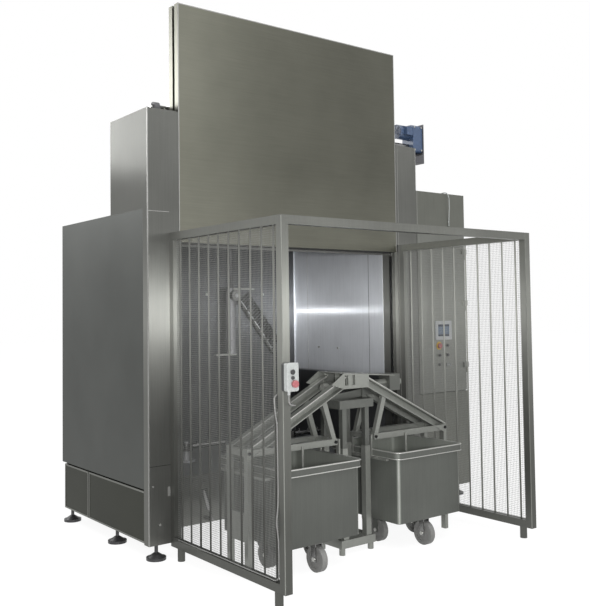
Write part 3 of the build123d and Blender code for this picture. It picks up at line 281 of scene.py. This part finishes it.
def lining_finish():
    """Chamber lining with painted shade: full tone on the right wall down to 1.06 m, darker on the other
    walls and on the right wall from the chamber floor up to 1.06 m.
    """
    m = steel_nodes("lining_steel", (0.63, 0.65, 0.68), UPRIGHT, rough=0.30, brushed=1.0, metal=0.6)
    # Painted shade: every face but the right wall gets 0.12 of the tone, standing for the shade inside the
    # chamber
    right = step(m, "X", LINING_RIGHT_X, 0.004)
    scaled_tint(m, right, 0.12, 1.0)
    # Painted shade: the right wall drops to 0.10 of its tone between the chamber floor and 1.06 m, where
    # it is less lit
    middle = (LINING_FLOOR_Z + LINING_SHADE_Z) / 2
    lower_shade = band(m, "Z", middle, LINING_SHADE_Z - middle, 0.01)
    scaled_tint(m, both(m, right, lower_shade), 1.0, 0.10)
    return m.material


def cage_finish(side, rod_tone_and_light):
    """Cage tube, darker towards the floor as painted shade, with another tone on the rods between its
    posts and rails.
    """
    rough = 0.34
    metal = 0.85
    m = steel_nodes(f"cage_{side}_steel", (0.15, 0.153, 0.140), UPRIGHT, rough=rough, metal=metal)
    between_posts = band(m, "Y", CAGE_RODS_Y, CAGE_RODS_HALF_Y)
    rods = both(m, between_posts, band(m, "Z", CAGE_RODS_Z, CAGE_RODS_HALF_Z))
    scaled_tint(m, rods, 1.0, rod_tone_and_light)
    # Painted shade: the tube's tone falls to 0.62 of itself towards the floor
    scaled_tint(m, step(m, "Z", CAGE_SHADE_Z, 0.5), 0.62, 1.0)
    led_value(m, "Roughness", rods, rough, 0.6)
    led_value(m, "Metallic", rods, metal, 0.5)
    return m.material


def pipe_finish():
    """Spray pipes, with painted shade that darkens the drop pipe above the column."""
    m = steel_nodes("pipe_steel", (0.30, 0.30, 0.31), EVEN, rough=0.5, brushed=0.3, metal=0.6)
    # Painted shade: a quarter of the tone above the column's top
    scaled_tint(m, step(m, "Z", COLUMN_TOP_Z, 0.002), 1.0, 0.25)
    return m.material


def door_finish():
    """Door skin, a little paler towards its lower edge as painted light."""
    looks = dict(rough=0.36, brushed=0.6, turn=0.25)
    m = steel_nodes("door_steel", (0.115, 0.115, 0.095), LEVEL_X, **looks)
    # Painted light: the tone rises to 1.4 times below about 2.35 m
    scaled_tint(m, step(m, "Z", DOOR_LIGHT_Z, 0.3), 1.4, 1.0)
    return m.material


def bin_finish(side, tone):
    """Bin steel, with painted light that makes the side sheets and the inner faces of the tub paler."""
    looks = dict(rough=0.38, brushed=0.6, metal=0.4, cloud=0.24)
    m = steel_nodes(f"bin_{side}_steel", (0.95 * tone, tone, 0.9 * tone), UPRIGHT, **looks)
    centre = at(BIN_X[side], LOADER_Y, 0)
    across = band(m, "X", centre.x, TUB_INSIDE_HALF_X)
    inside = both(m, across, band(m, "Y", centre.y, TUB_INSIDE_HALF_Y))
    # Painted light: the tub's inner faces are three times paler than its outside
    scaled_tint(m, both(m, inside, step(m, "Z", TUB_FLOOR_Z, 0.001)), 1.0, 3.0)
    # Painted light: the side sheets, beyond the band across X, are 1.7 times paler
    scaled_tint(m, band(m, "X", centre.x, TUB_SHEET_HALF_X), 1.7, 1.0)
    return m.material


def pendant_finish():
    """Pendant case: white in front and near black behind a plane across Y."""
    m = plain_nodes("pendant_plastic", (0.25, 0.26, 0.255), rough=(0.4, 0.5), scale=150)
    # The case behind that plane is taken down to 0.06 of the tone
    scaled_tint(m, step(m, "Y", PENDANT_DARK_Y, 0.0005), 1.0, 0.06)
    return m.material


door_steel = door_finish()
side_steel = brushed_steel("side_steel", (0.074, 0.078, 0.073), UPRIGHT, rough=0.55, brushed=0.0)
tower_steel = brushed_steel("tower_steel", (0.14, 0.142, 0.132), UPRIGHT)
frame_steel = brushed_steel("frame_steel", (0.16, 0.163, 0.150), UPRIGHT, metal=0.8)
plinth_steel = brushed_steel("plinth_steel", (0.030, 0.032, 0.024), LEVEL_Y, rough=0.5, brushed=0.0)
control_steel = brushed_steel("control_steel", (0.155, 0.159, 0.141), UPRIGHT)
panel_steel = brushed_steel("panel_steel", (0.195, 0.20, 0.183), UPRIGHT)
lining_steel = lining_finish()
cage_left_steel = cage_finish("left", 0.58)
# Painted light: the right wing's rods get a paler tone than the left wing's, standing for how they are lit
cage_right_steel = cage_finish("right", 1.4)
wire_steel = brushed_steel("wire_steel", (0.17, 0.173, 0.165), EVEN, brushed=0.0, metal=0.5)
# Painted light: the right wing's mesh wires are a paler copy of the left wing's wire
lit_wire = brushed_steel("lit_wire", (0.22, 0.223, 0.215), EVEN, brushed=0.0, metal=0.5)
loader_steel = brushed_steel("loader_steel", (0.20, 0.206, 0.189), EVEN, brushed=0.5, metal=0.6)
carriage_steel = brushed_steel("carriage_steel", (0.10, 0.104, 0.095), EVEN, brushed=0.5, metal=0.6)
bright_steel = brushed_steel("bright_steel", (0.42, 0.42, 0.40), EVEN, rough=0.3, brushed=0.3, metal=0.7)
trim_and_highlight_steel = brushed_steel("trim_and_highlight_steel", (0.25, 0.25, 0.24), EVEN, rough=0.4, brushed=0.3, metal=0.7)
polished_steel = brushed_steel("polished_steel", (0.24, 0.24, 0.235), EVEN, rough=0.25, brushed=0.3)
chain_steel = brushed_steel("chain_steel", (0.10, 0.10, 0.10), LINKS, brushed=0.0)
dark_steel = brushed_steel("dark_steel", (0.03, 0.03, 0.03), EVEN, brushed=0.0)
blue_paint = plain_finish("blue_paint", (0.04, 0.065, 0.12), rough=(0.3, 0.45))
dark_paint = plain_finish("dark_paint", (0.05, 0.05, 0.055))
bearing_iron = plain_finish("bearing_iron", (0.10, 0.10, 0.105), rough=(0.5, 0.7), metallic=0.6, scale=120)
black_rubber = plain_finish("black_rubber", (0.02, 0.02, 0.02), rough=(0.6, 0.8))
tyre_rubber = plain_finish("tyre_rubber", (0.13, 0.13, 0.125), rough=(0.55, 0.75))
black_plastic = plain_finish("black_plastic", (0.02, 0.02, 0.021), rough=(0.3, 0.5), scale=200)
screen_plastic = plain_finish("screen_plastic", (0.30, 0.31, 0.31), rough=(0.25, 0.35), scale=200)
red_plastic = plain_finish("red_plastic", (0.23, 0.07, 0.075), rough=(0.25, 0.35), scale=150)
white_plastic = plain_finish("white_plastic", (0.25, 0.26, 0.255), rough=(0.4, 0.5), scale=150)
highlight_and_disc_plastic = plain_finish("highlight_and_disc_plastic", (0.72, 0.73, 0.74), rough=(0.4, 0.5), scale=150)
cable_grey = plain_finish("cable_grey", (0.13, 0.13, 0.125), rough=(0.4, 0.6), scale=200)
yellow_plastic = plain_finish("yellow_plastic", (0.42, 0.27, 0.03), rough=(0.35, 0.5), scale=150)
screen_glass = plain_finish("screen_glass", (0.10, 0.13, 0.17), rough=(0.12, 0.2), scale=90, bump=0.01)
screen_dark = plain_finish("screen_dark", (0.03, 0.035, 0.05), rough=(0.12, 0.2), scale=90, bump=0.01)

finishes = {
    "base_frame": frame_steel,
    "levelling_feet": black_plastic,
    "side_panels": side_steel,
    "plinth_panels": plinth_steel,
    "back_panel": side_steel,
    "roof_panel": side_steel,
    "towers": tower_steel,
    "header_beam": frame_steel,
    "sill": frame_steel,
    "chamber_walls": lining_steel,
    "chamber_floor": lining_steel,
    "wash_tank": frame_steel,
    "wash_pump": blue_paint,
    "supply_pipes": polished_steel,
    "spray_pipes": pipe_finish(),
    "spray_lance": polished_steel,
    "spray_arm_left": polished_steel,
    "spray_arm_right": polished_steel,
    "lift_door": door_steel,
    "door_seal": black_rubber,
    "door_guides": polished_steel,
    "door_chains": chain_steel,
    "lift_shaft": polished_steel,
    "shaft_bearings": bearing_iron,
    "gearmotor": blue_paint,
    "motor_plate": dark_paint,
    "cage_left": cage_left_steel,
    "cage_right": cage_right_steel,
    "cage_top_rail": cage_left_steel,
    "control_cabinet": control_steel,
    "control_door": panel_steel,
    "touch_screen": screen_plastic,
    "control_stop": red_plastic,
    "start_button": black_plastic,
    "door_button": black_plastic,
    "lift_button": black_plastic,
    "key_switch": white_plastic,
    "control_cable": white_plastic,
    "pendant_box": pendant_finish(),
    "pendant_up": black_plastic,
    "pendant_down": black_plastic,
    "pendant_stop": red_plastic,
    "pendant_cable": cable_grey,
    "mast": loader_steel,
    "carriage": carriage_steel,
    "hub": loader_steel,
    "wing_left": loader_steel,
    "wing_right": loader_steel,
    "bin_left": bin_finish("left", 0.062),
    "bin_right": bin_finish("right", 0.074),
}
for bin_name in ("bin_left", "bin_right"):
    finishes[f"{bin_name}_side_wheels"] = tyre_rubber
    for end in ("front", "rear"):
        finishes[f"{bin_name}_{end}_fork"] = polished_steel
        finishes[f"{bin_name}_{end}_wheel"] = tyre_rubber

for name in nodes:
    slots = nodes[name].data.materials
    slots.clear()
    slots.append(finishes[name])


def new_piece(name, form, material, body):
    """Mesh object made from a bmesh, which rides on a body and takes the given finish."""
    mesh = bpy.data.meshes.new(name)
    form.to_mesh(mesh)
    form.free()
    mesh.materials.append(material)
    piece = bpy.data.objects.new(name, mesh)
    scene.collection.objects.link(piece)
    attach(piece, body)


def add_piece(name, form, material, body):
    """Piece made from a bmesh, with its sharp edges rounded off."""
    bmesh.ops.recalc_face_normals(form, faces=form.faces)
    sharp = [edge for edge in form.edges if edge.calc_face_angle(0) > 1]
    bmesh.ops.bevel(form, geom=sharp, offset=0.0003, segments=2, affect="EDGES")
    new_piece(name, form, material, body)


def between(start, end):
    """Place halfway between two points, with its Z axis along the line that joins them."""
    turn = (end - start).to_track_quat("Z", "Y").to_matrix().to_4x4()
    return Matrix.Translation((start + end) / 2) @ turn


def bar(form, start, end, width):
    """Four-sided bar between two points of the model's frame, in metres, added to a bmesh."""
    size = Matrix.Diagonal((width, width, (end - start).length, 1))
    bmesh.ops.create_cube(form, size=1, matrix=between(start, end) @ size)


def plate(form, x, y, z):
    """Box between limits in millimetres from the machine's datum, added to a bmesh."""
    low = at(min(x), min(y), min(z))
    high = at(max(x), max(y), max(z))
    place = Matrix.Translation((low + high) / 2) @ Matrix.Diagonal((*(high - low), 1))
    bmesh.ops.create_cube(form, size=1, matrix=place)


def rod(form, start, end, radius):
    """Round bar between two points in millimetres from the datum, added to a bmesh."""
    first = at(*start)
    last = at(*end)
    size = radius / 1000
    looks = dict(cap_ends=True, segments=24, radius1=size, radius2=size, depth=(last - first).length)
    bmesh.ops.create_cone(form, matrix=between(first, last), **looks)


def closed_rod(form, loop, radius):
    """Round bars that join a closed loop of points, added to a bmesh."""
    for start, end in zip(loop, loop[1:] + loop[:1]):
        rod(form, start, end, radius)


def ring(form, centre, y, outer, inner, count=40):
    """Flat ring that faces the front, added to a bmesh."""
    x, z = centre
    turns = [2 * pi * k / count for k in range(count)]
    loops = []
    for radius, depth in ((outer, y[0]), (outer, y[1]), (inner, y[1]), (inner, y[0])):
        loops.append([form.verts.new(at(x + radius * cos(t), depth, z + radius * sin(t))) for t in turns])
    for a, b in zip(loops, loops[1:] + loops[:1]):
        for k in range(count):
            form.faces.new((a[k], a[k - 1], b[k - 1], b[k]))


MESH_PITCH = 0.013
WIRE = 0.0012
MESH_Y = (-1190, -45)
MESH_Z = (128, 2080)


def cage_mesh(side, name, material):
    """Welded wire mesh on one wing of the cage."""
    form = bmesh.new()
    low = at(side * CAGE_X, MESH_Y[0], MESH_Z[0])
    high = at(side * CAGE_X, MESH_Y[1], MESH_Z[1])
    rows = int((high.z - low.z) / MESH_PITCH)
    columns = int((high.y - low.y) / MESH_PITCH)
    for i in range(1, rows):
        z = low.z + i * (high.z - low.z) / rows
        bar(form, Vector((low.x, low.y, z)), Vector((low.x, high.y, z)), WIRE)
    upright_x = low.x - side * WIRE
    for i in range(1, columns):
        y = low.y + i * (high.y - low.y) / columns
        bar(form, Vector((upright_x, y, low.z)), Vector((upright_x, y, high.z)), WIRE)
    new_piece(name, form, material, "machine")


FOLD_Y = (-1, 0)
OUTER_FOLD = 6
INNER_FOLD = 4.3
DOOR_FOLD = 7


def tower_details():
    """Folded edges drawn as paler strips for painted highlights, seams and bolts on the towers' fronts,
    strips beside the door, the control roof.
    """
    full_height = (TOWER_FOOT, TOWER_TOP)
    left_face = -TOWER_OUTSIDE
    trim = bmesh.new()
    # Painted highlights: the folded edges are strips paler than the tower
    plate(trim, (left_face - 1, left_face + OUTER_FOLD), FOLD_Y, full_height)
    plate(trim, (left_face - 1, left_face), (0, OUTER_FOLD), full_height)
    plate(trim, (TOWER_OUTSIDE - OUTER_FOLD, TOWER_OUTSIDE + 1), FOLD_Y, (CONTROL_TOP + 4, TOWER_TOP))
    plate(trim, (-TOWER_INSIDE - INNER_FOLD, -TOWER_INSIDE), FOLD_Y, (TOWER_FOOT, DOOR_LOW))
    plate(trim, (TOWER_INSIDE, TOWER_INSIDE + INNER_FOLD), FOLD_Y, full_height)
    plate(trim, PANEL_SEAM_X, (-0.8, 0), (2266, 2270))
    tab_x = (-1112, -1094)
    plate(trim, tab_x, (-2, 0), (405, 465))
    for x, z in ((-1220, 478), (-1170, 228)):
        rod(trim, (x, -4, z), (x, 0, z), 7)
    lip_x = (-WALL_X, WALL_X)
    plate(trim, lip_x, (184, 190), (2057, 2075))
    control_edge_x = (1257, 1262)
    plate(trim, control_edge_x, FOLD_Y, (2278, 2590))
    add_piece("tower_trim_and_highlights", trim, trim_and_highlight_steel, "machine")
    seams = bmesh.new()
    plate(seams, PANEL_SEAM_X, (-0.5, 0), (604.5, 607.5))
    add_piece("tower_seams", seams, dark_steel, "machine")
    strips = bmesh.new()
    for s in (-1, 1):
        plate(strips, (s * 1034.8, s * 1016.2), (0.2, 4), (2130, TOWER_TOP))
    add_piece("gap_strips", strips, tower_steel, "machine")
    roof = bmesh.new()
    plate(roof, (1252, 1843), (2, 358), (CONTROL_TOP, CONTROL_TOP + 1.2))
    add_piece("control_roof", roof, side_steel, "machine")


def door_details():
    """Painted highlights on the folded edges of the lift-up door, drawn as paler strips."""
    inside = DOOR_HALF - DOOR_FOLD
    trim = bmesh.new()
    # Painted highlights: paler strips down both side edges and along the top
    for s in (-1, 1):
        plate(trim, (s * DOOR_HALF, s * inside), FOLD_Y, (DOOR_LOW, DOOR_TOP - 1))
    plate(trim, (-inside, inside), FOLD_Y, (DOOR_TOP - 6, DOOR_TOP))
    add_piece("door_edge_highlights", trim, trim_and_highlight_steel, "door")


COMB_OFFSET = 115
COMB_TEETH = 21
COMB_PITCH = 25


def on_lance(along, away, ahead=0):
    """Point at distances along the lance, up from it and out to its front."""
    x, y, z = LANCE_PIVOT
    across, down = LANCE_ALONG
    return at(x + along * across - away * down, y - ahead, z + along * down + away * across)


def chamber_details():
    """Comb on the lance with a pale strip that is a painted highlight, guide and brackets of the column,
    fittings on the walls, a strut.
    """
    comb = bmesh.new()
    bar(comb, on_lance(60, COMB_OFFSET), on_lance(570, COMB_OFFSET), 0.012)
    for k in range(COMB_TEETH):
        along = 65 + COMB_PITCH * k
        bar(comb, on_lance(along, 18), on_lance(along, COMB_OFFSET), 0.014)
    add_piece("lance_comb", comb, dark_steel, "lance")
    highlight_and_disc = bmesh.new()
    # Painted highlight: a pale strip along the lance's front stands for the light it catches; a pale disc
    # sits on the pivot
    bar(highlight_and_disc, on_lance(66, 5, 21), on_lance(440, 9, 20), 0.007)
    x, y, z = LANCE_PIVOT
    rod(highlight_and_disc, (x, y - 25, z), (x, y - 20, z), 17)
    add_piece("lance_highlight_and_disc", highlight_and_disc, highlight_and_disc_plastic, "lance")
    guide = bmesh.new()
    plate(guide, (-64, 10), (1010, 1020), (700, 1804))
    plate(guide, WALL_SEAM_X, (360, 364), WALL_SEAM_Z)
    add_piece("column_guide", guide, dark_steel, "machine")
    bracket = bmesh.new()
    plate(bracket, (-100, 100), (990, 1030), (1236, 1251))
    plate(bracket, (48, 255), (946, 962), (1783, 1797))
    plate(bracket, WALL_SEAM_X, (1188, 1192), WALL_SEAM_Z)
    for x in (56, 651):
        rod(bracket, (x, 1380, 1756), (x, 1388, 1756), 14)
    for y, z in ((1035, 1269), (770, 1267)):
        rod(bracket, (WALL_X - 7, y, z), (WALL_X, y, z), 9)
    add_piece("chamber_fittings", bracket, bright_steel, "machine")
    strut = bmesh.new()
    strut_y = 200
    rod(strut, (-716, strut_y, 363), (-672, strut_y, 222), 19)
    rod(strut, (-672, strut_y, 222), (-647, strut_y, 141), 9)
    plate(strut, (-736, -696), (strut_y - 12, strut_y + 12), (352, 380))
    plate(strut, (-662, -632), (strut_y, strut_y + 96), (130, 152))
    add_piece("recess_strut", strut, polished_steel, "machine")


def cage_details():
    """Painted highlights on the rounded corner edges of the cage's front posts, drawn as pale strips."""
    edges = bmesh.new()
    # Painted highlight: pale strips at each front post's corner
    for x in (-CAGE_X - 25, CAGE_X - 25):
        plate(edges, (x - 1, x + 3), (-1236, -1232), (84, 2124))
    add_piece("cage_edge_highlights", edges, loader_steel, "machine")


STOP_X = 1495


def control_details():
    """Screen pane, collar of the stop and indicator on the control cabinet's door."""
    pane = bmesh.new()
    plate(pane, (1476, 1614), (-9.6, -9.1), (1370, 1472))
    add_piece("screen_pane", pane, screen_glass, "control_door")
    bars = bmesh.new()
    for z in ((1372, 1388), (1452, 1470)):
        plate(bars, (1479, 1611), (-9.9, -9.6), z)
    add_piece("screen_bars", bars, screen_dark, "control_door")
    collar = bmesh.new()
    ring(collar, (STOP_X, 1291), (-2.5, -0.2), 34, 15.5)
    add_piece("stop_collar", collar, yellow_plastic, "control_door")
    lamp = bmesh.new()
    rod(lamp, (STOP_X, -5, 1131), (STOP_X, 0, 1131), 11)
    add_piece("control_indicator", lamp, black_plastic, "control_door")


def loader_details():
    """Bolts at the tie bars' ends, and painted highlights along the sloping channels' upper edges, drawn
    as thin bright bars.
    """
    bolts = bmesh.new()
    for shift in (-866, -180, 180, 866):
        x = LOADER_X + shift
        rod(bolts, (x, -676, 742), (x, -670, 742), 11)
    add_piece("tie_bolts", bolts, dark_steel, "rocker")
    edges = bmesh.new()
    # Painted highlight: thin bright bars along the channels' upper edges
    for s in (-1, 1):
        for y in (-674, -484):
            start = at(LOADER_X + s * 84, y, 1160)
            end = at(LOADER_X + s * 859, y, 774)
            bar(edges, start, end, 0.005)
    add_piece("channel_edge_highlights", edges, bright_steel, "rocker")


def rim_loop(centre, z, count=6):
    """Points round a bin's rim, a rectangle with rounded corners, in millimetres."""
    points = []
    for quarter, (sx, sy) in enumerate(((1, 1), (-1, 1), (-1, -1), (1, -1))):
        for k in range(count + 1):
            t = pi / 2 * (quarter + k / count)
            x = centre + sx * (BIN_WIDTH / 2 - BIN_CORNER) + BIN_CORNER * cos(t)
            y = LOADER_Y + sy * (BIN_LENGTH / 2 - BIN_CORNER) + BIN_CORNER * sin(t)
            points.append((x, y, z))
    return points


def axle_ends(form, x, y):
    """Cap or nut on both ends of a wheel's axle, added to a bmesh."""
    for s in (-1, 1):
        rod(form, (x + s * 28, y, AXLE_Z), (x + s * 33, y, AXLE_Z), 12)


def bin_details(side):
    """Painted highlights on a bin's rim and front left corner, drawn as bright rods, and caps on its
    axles.
    """
    body = f"bin_{side}"
    centre = BIN_X[side]
    highlight_bead = bmesh.new()
    # Painted highlights: bright rods along the rim's top and lower edges, and down the front left corner
    # only
    closed_rod(highlight_bead, rim_loop(centre, 658), 4)
    closed_rod(highlight_bead, rim_loop(centre, 616), 3)
    corner = (centre - 292.7, LOADER_Y - 322.7)
    rod(highlight_bead, (*corner, 195), (*corner, 610), 3)
    add_piece(f"{body}_rim_highlights", highlight_bead, bright_steel, body)
    caps = bmesh.new()
    for shift in (-180, 180):
        axle_ends(caps, centre + shift, LOADER_Y)
    add_piece(f"{body}_axle_caps", caps, bright_steel, body)
    for end, shift in (("front", -265), ("rear", 265)):
        nuts = bmesh.new()
        axle_ends(nuts, centre, LOADER_Y + shift)
        add_piece(f"{body}_{end}_nuts", nuts, bright_steel, f"{body}_{end}_fork")


COWL_X = 1193
MOTOR_Y = 165
MOTOR_Z = 3112
GRILLE_RADII = (18, 30, 42, 54)
GRILLE_WIRE = 1.5
GRILLE_SIDES = 24


def on_cowl(radius, turn):
    """Point on the end of the motor's cowl, at a radius and an angle round the motor's axis."""
    return (COWL_X, MOTOR_Y + radius * cos(turn), MOTOR_Z + radius * sin(turn))


def drive_details():
    """Fan grille on the motor's cowl and bolts on the gearbox."""
    grille = bmesh.new()
    turns = [2 * pi * k / GRILLE_SIDES for k in range(GRILLE_SIDES)]
    for radius in GRILLE_RADII:
        closed_rod(grille, [on_cowl(radius, t) for t in turns], GRILLE_WIRE)
    for t in (pi / 4, 3 * pi / 4):
        rod(grille, on_cowl(-GRILLE_RADII[-1], t), on_cowl(GRILLE_RADII[-1], t), GRILLE_WIRE)
    add_piece("fan_grille", grille, dark_paint, "machine")
    bolts = bmesh.new()
    for x in (1350, 1430):
        for z in (2965, 3160):
            rod(bolts, (x, 94, z), (x, 100, z), 7)
    add_piece("gearbox_bolts", bolts, bright_steel, "machine")


BORDER = 12
BORDER_X = (-1242, -1240)
PLINTH_LOW = 105
PLINTH_HIGH = 440


def plinth_details():
    """Folded borders of the plinth's left panels."""
    border = bmesh.new()
    for front, back in ((71, 948), (958, 1392)):
        for y in ((front, front + BORDER), (back - BORDER, back)):
            plate(border, BORDER_X, y, (PLINTH_LOW, PLINTH_HIGH))
        for z in ((PLINTH_LOW, PLINTH_LOW + BORDER), (PLINTH_HIGH - BORDER, PLINTH_HIGH)):
            plate(border, BORDER_X, (front + BORDER, back - BORDER), z)
    add_piece("plinth_borders", border, frame_steel, "machine")


cage_mesh(-1, "cage_left_mesh", wire_steel)
cage_mesh(1, "cage_right_mesh", lit_wire)
tower_details()
door_details()
chamber_details()
cage_details()
control_details()
loader_details()
bin_details("left")
bin_details("right")
drive_details()
plinth_details()


def larger(tree, first, second):
    """Larger of two values."""
    node = tree.nodes.new("ShaderNodeMath")
    node.operation = "MAXIMUM"
    tree.links.new(first, node.inputs[0])
    tree.links.new(second, node.inputs[1])
    return node.outputs[0]


def camera_share(tree):
    """One for rays that see a surface or a reflection, nought for rays that only carry light."""
    rays = tree.nodes.new("ShaderNodeLightPath").outputs
    seen = larger(tree, rays["Is Camera Ray"], rays["Is Glossy Ray"])
    return larger(tree, seen, rays["Is Transmission Ray"])


FLOOR_HALF = 40
FLOOR_WHITE = 1.08
FLOOR_WHITE_SHARE = 0.84
WORLD_LIGHT = 0.7
WORLD_SEEN = 1.0


def make_floor():
    """Pale floor that looks white to the camera and keeps a faint shadow of the object."""
    mesh = bpy.data.meshes.new("floor")
    form = bmesh.new()
    bmesh.ops.create_grid(form, x_segments=1, y_segments=1, size=FLOOR_HALF)
    form.to_mesh(mesh)
    form.free()
    m = Nodes("floor_paint")
    m.shader.inputs["Base Color"].default_value = (0.85, 0.85, 0.85, 1)
    m.shader.inputs["Roughness"].default_value = 0.9
    m.shader.inputs["Specular IOR Level"].default_value = 0.0
    white = m.add("ShaderNodeEmission", Color=(1, 1, 1, 1), Strength=FLOOR_WHITE)
    share = m.add("ShaderNodeMath", operation="MULTIPLY")
    share.inputs[1].default_value = FLOOR_WHITE_SHARE
    m.link(camera_share(m.tree), share.inputs[0])
    blend = m.add("ShaderNodeMixShader")
    m.link(share.outputs[0], blend.inputs["Fac"])
    m.link(m.shader.outputs["BSDF"], blend.inputs[1])
    m.link(white.outputs["Emission"], blend.inputs[2])
    m.link(blend.outputs["Shader"], m.tree.nodes["Material Output"].inputs["Surface"])
    mesh.materials.append(m.material)
    floor = bpy.data.objects.new("floor", mesh)
    scene.collection.objects.link(floor)


def make_world():
    """White backdrop for the camera and for reflections, with a softer level as light."""
    world = bpy.data.worlds.new("studio")
    world.use_nodes = True
    scene.world = world
    tree = world.node_tree
    background = tree.nodes["Background"]
    background.inputs["Color"].default_value = (1, 1, 1, 1)
    level = tree.nodes.new("ShaderNodeMapRange")
    level.inputs["To Min"].default_value = WORLD_LIGHT
    level.inputs["To Max"].default_value = WORLD_SEEN
    tree.links.new(camera_share(tree), level.inputs["Value"])
    tree.links.new(level.outputs["Result"], background.inputs["Strength"])


def area_light(name, place, target, size, power):
    """Soft rectangular lamp aimed at a point."""
    data = bpy.data.lights.new(name, "AREA")
    data.shape = "RECTANGLE"
    data.size = size[0]
    data.size_y = size[1]
    data.energy = power
    lamp = bpy.data.objects.new(name, data)
    aim = (Vector(target) - Vector(place)).to_track_quat("-Z", "Y")
    lamp.matrix_world = Matrix.Translation(place) @ aim.to_matrix().to_4x4()
    scene.collection.objects.link(lamp)


FLASH_SHIFT = Vector((0.35, -0.25, 0.02))
GLINT_Y = 1370
GLINT_Z = 1600

make_floor()
make_world()
area_light("flash", place=EYE + FLASH_SHIFT, target=at(0, 0, 1600), size=(0.6, 0.5), power=260)
area_light("hall", place=(-2.0, -4.0, 8.0), target=(0, -0.3, 0.5), size=(8, 6), power=460)
area_light("window", place=(2.6, -7.3, 5.4), target=(-0.8, 0, 3.0), size=(1.2, 3.0), power=50)
area_light("rear", place=(-4.2, 5.6, 4.6), target=(-1.5, 0.2, 3.0), size=(2.0, 2.0), power=160)

# Small lamps along the chamber's back, aimed at the right wall
glint_target = at(WALL_X, GLINT_Y, GLINT_Z)
for glint_x, power in ((782, 0.07), (490, 0.23), (215, 0.46)):
    area_light(f"glint_{glint_x}", at(glint_x, GLINT_Y, GLINT_Z), glint_target, (0.05, 0.02), power)
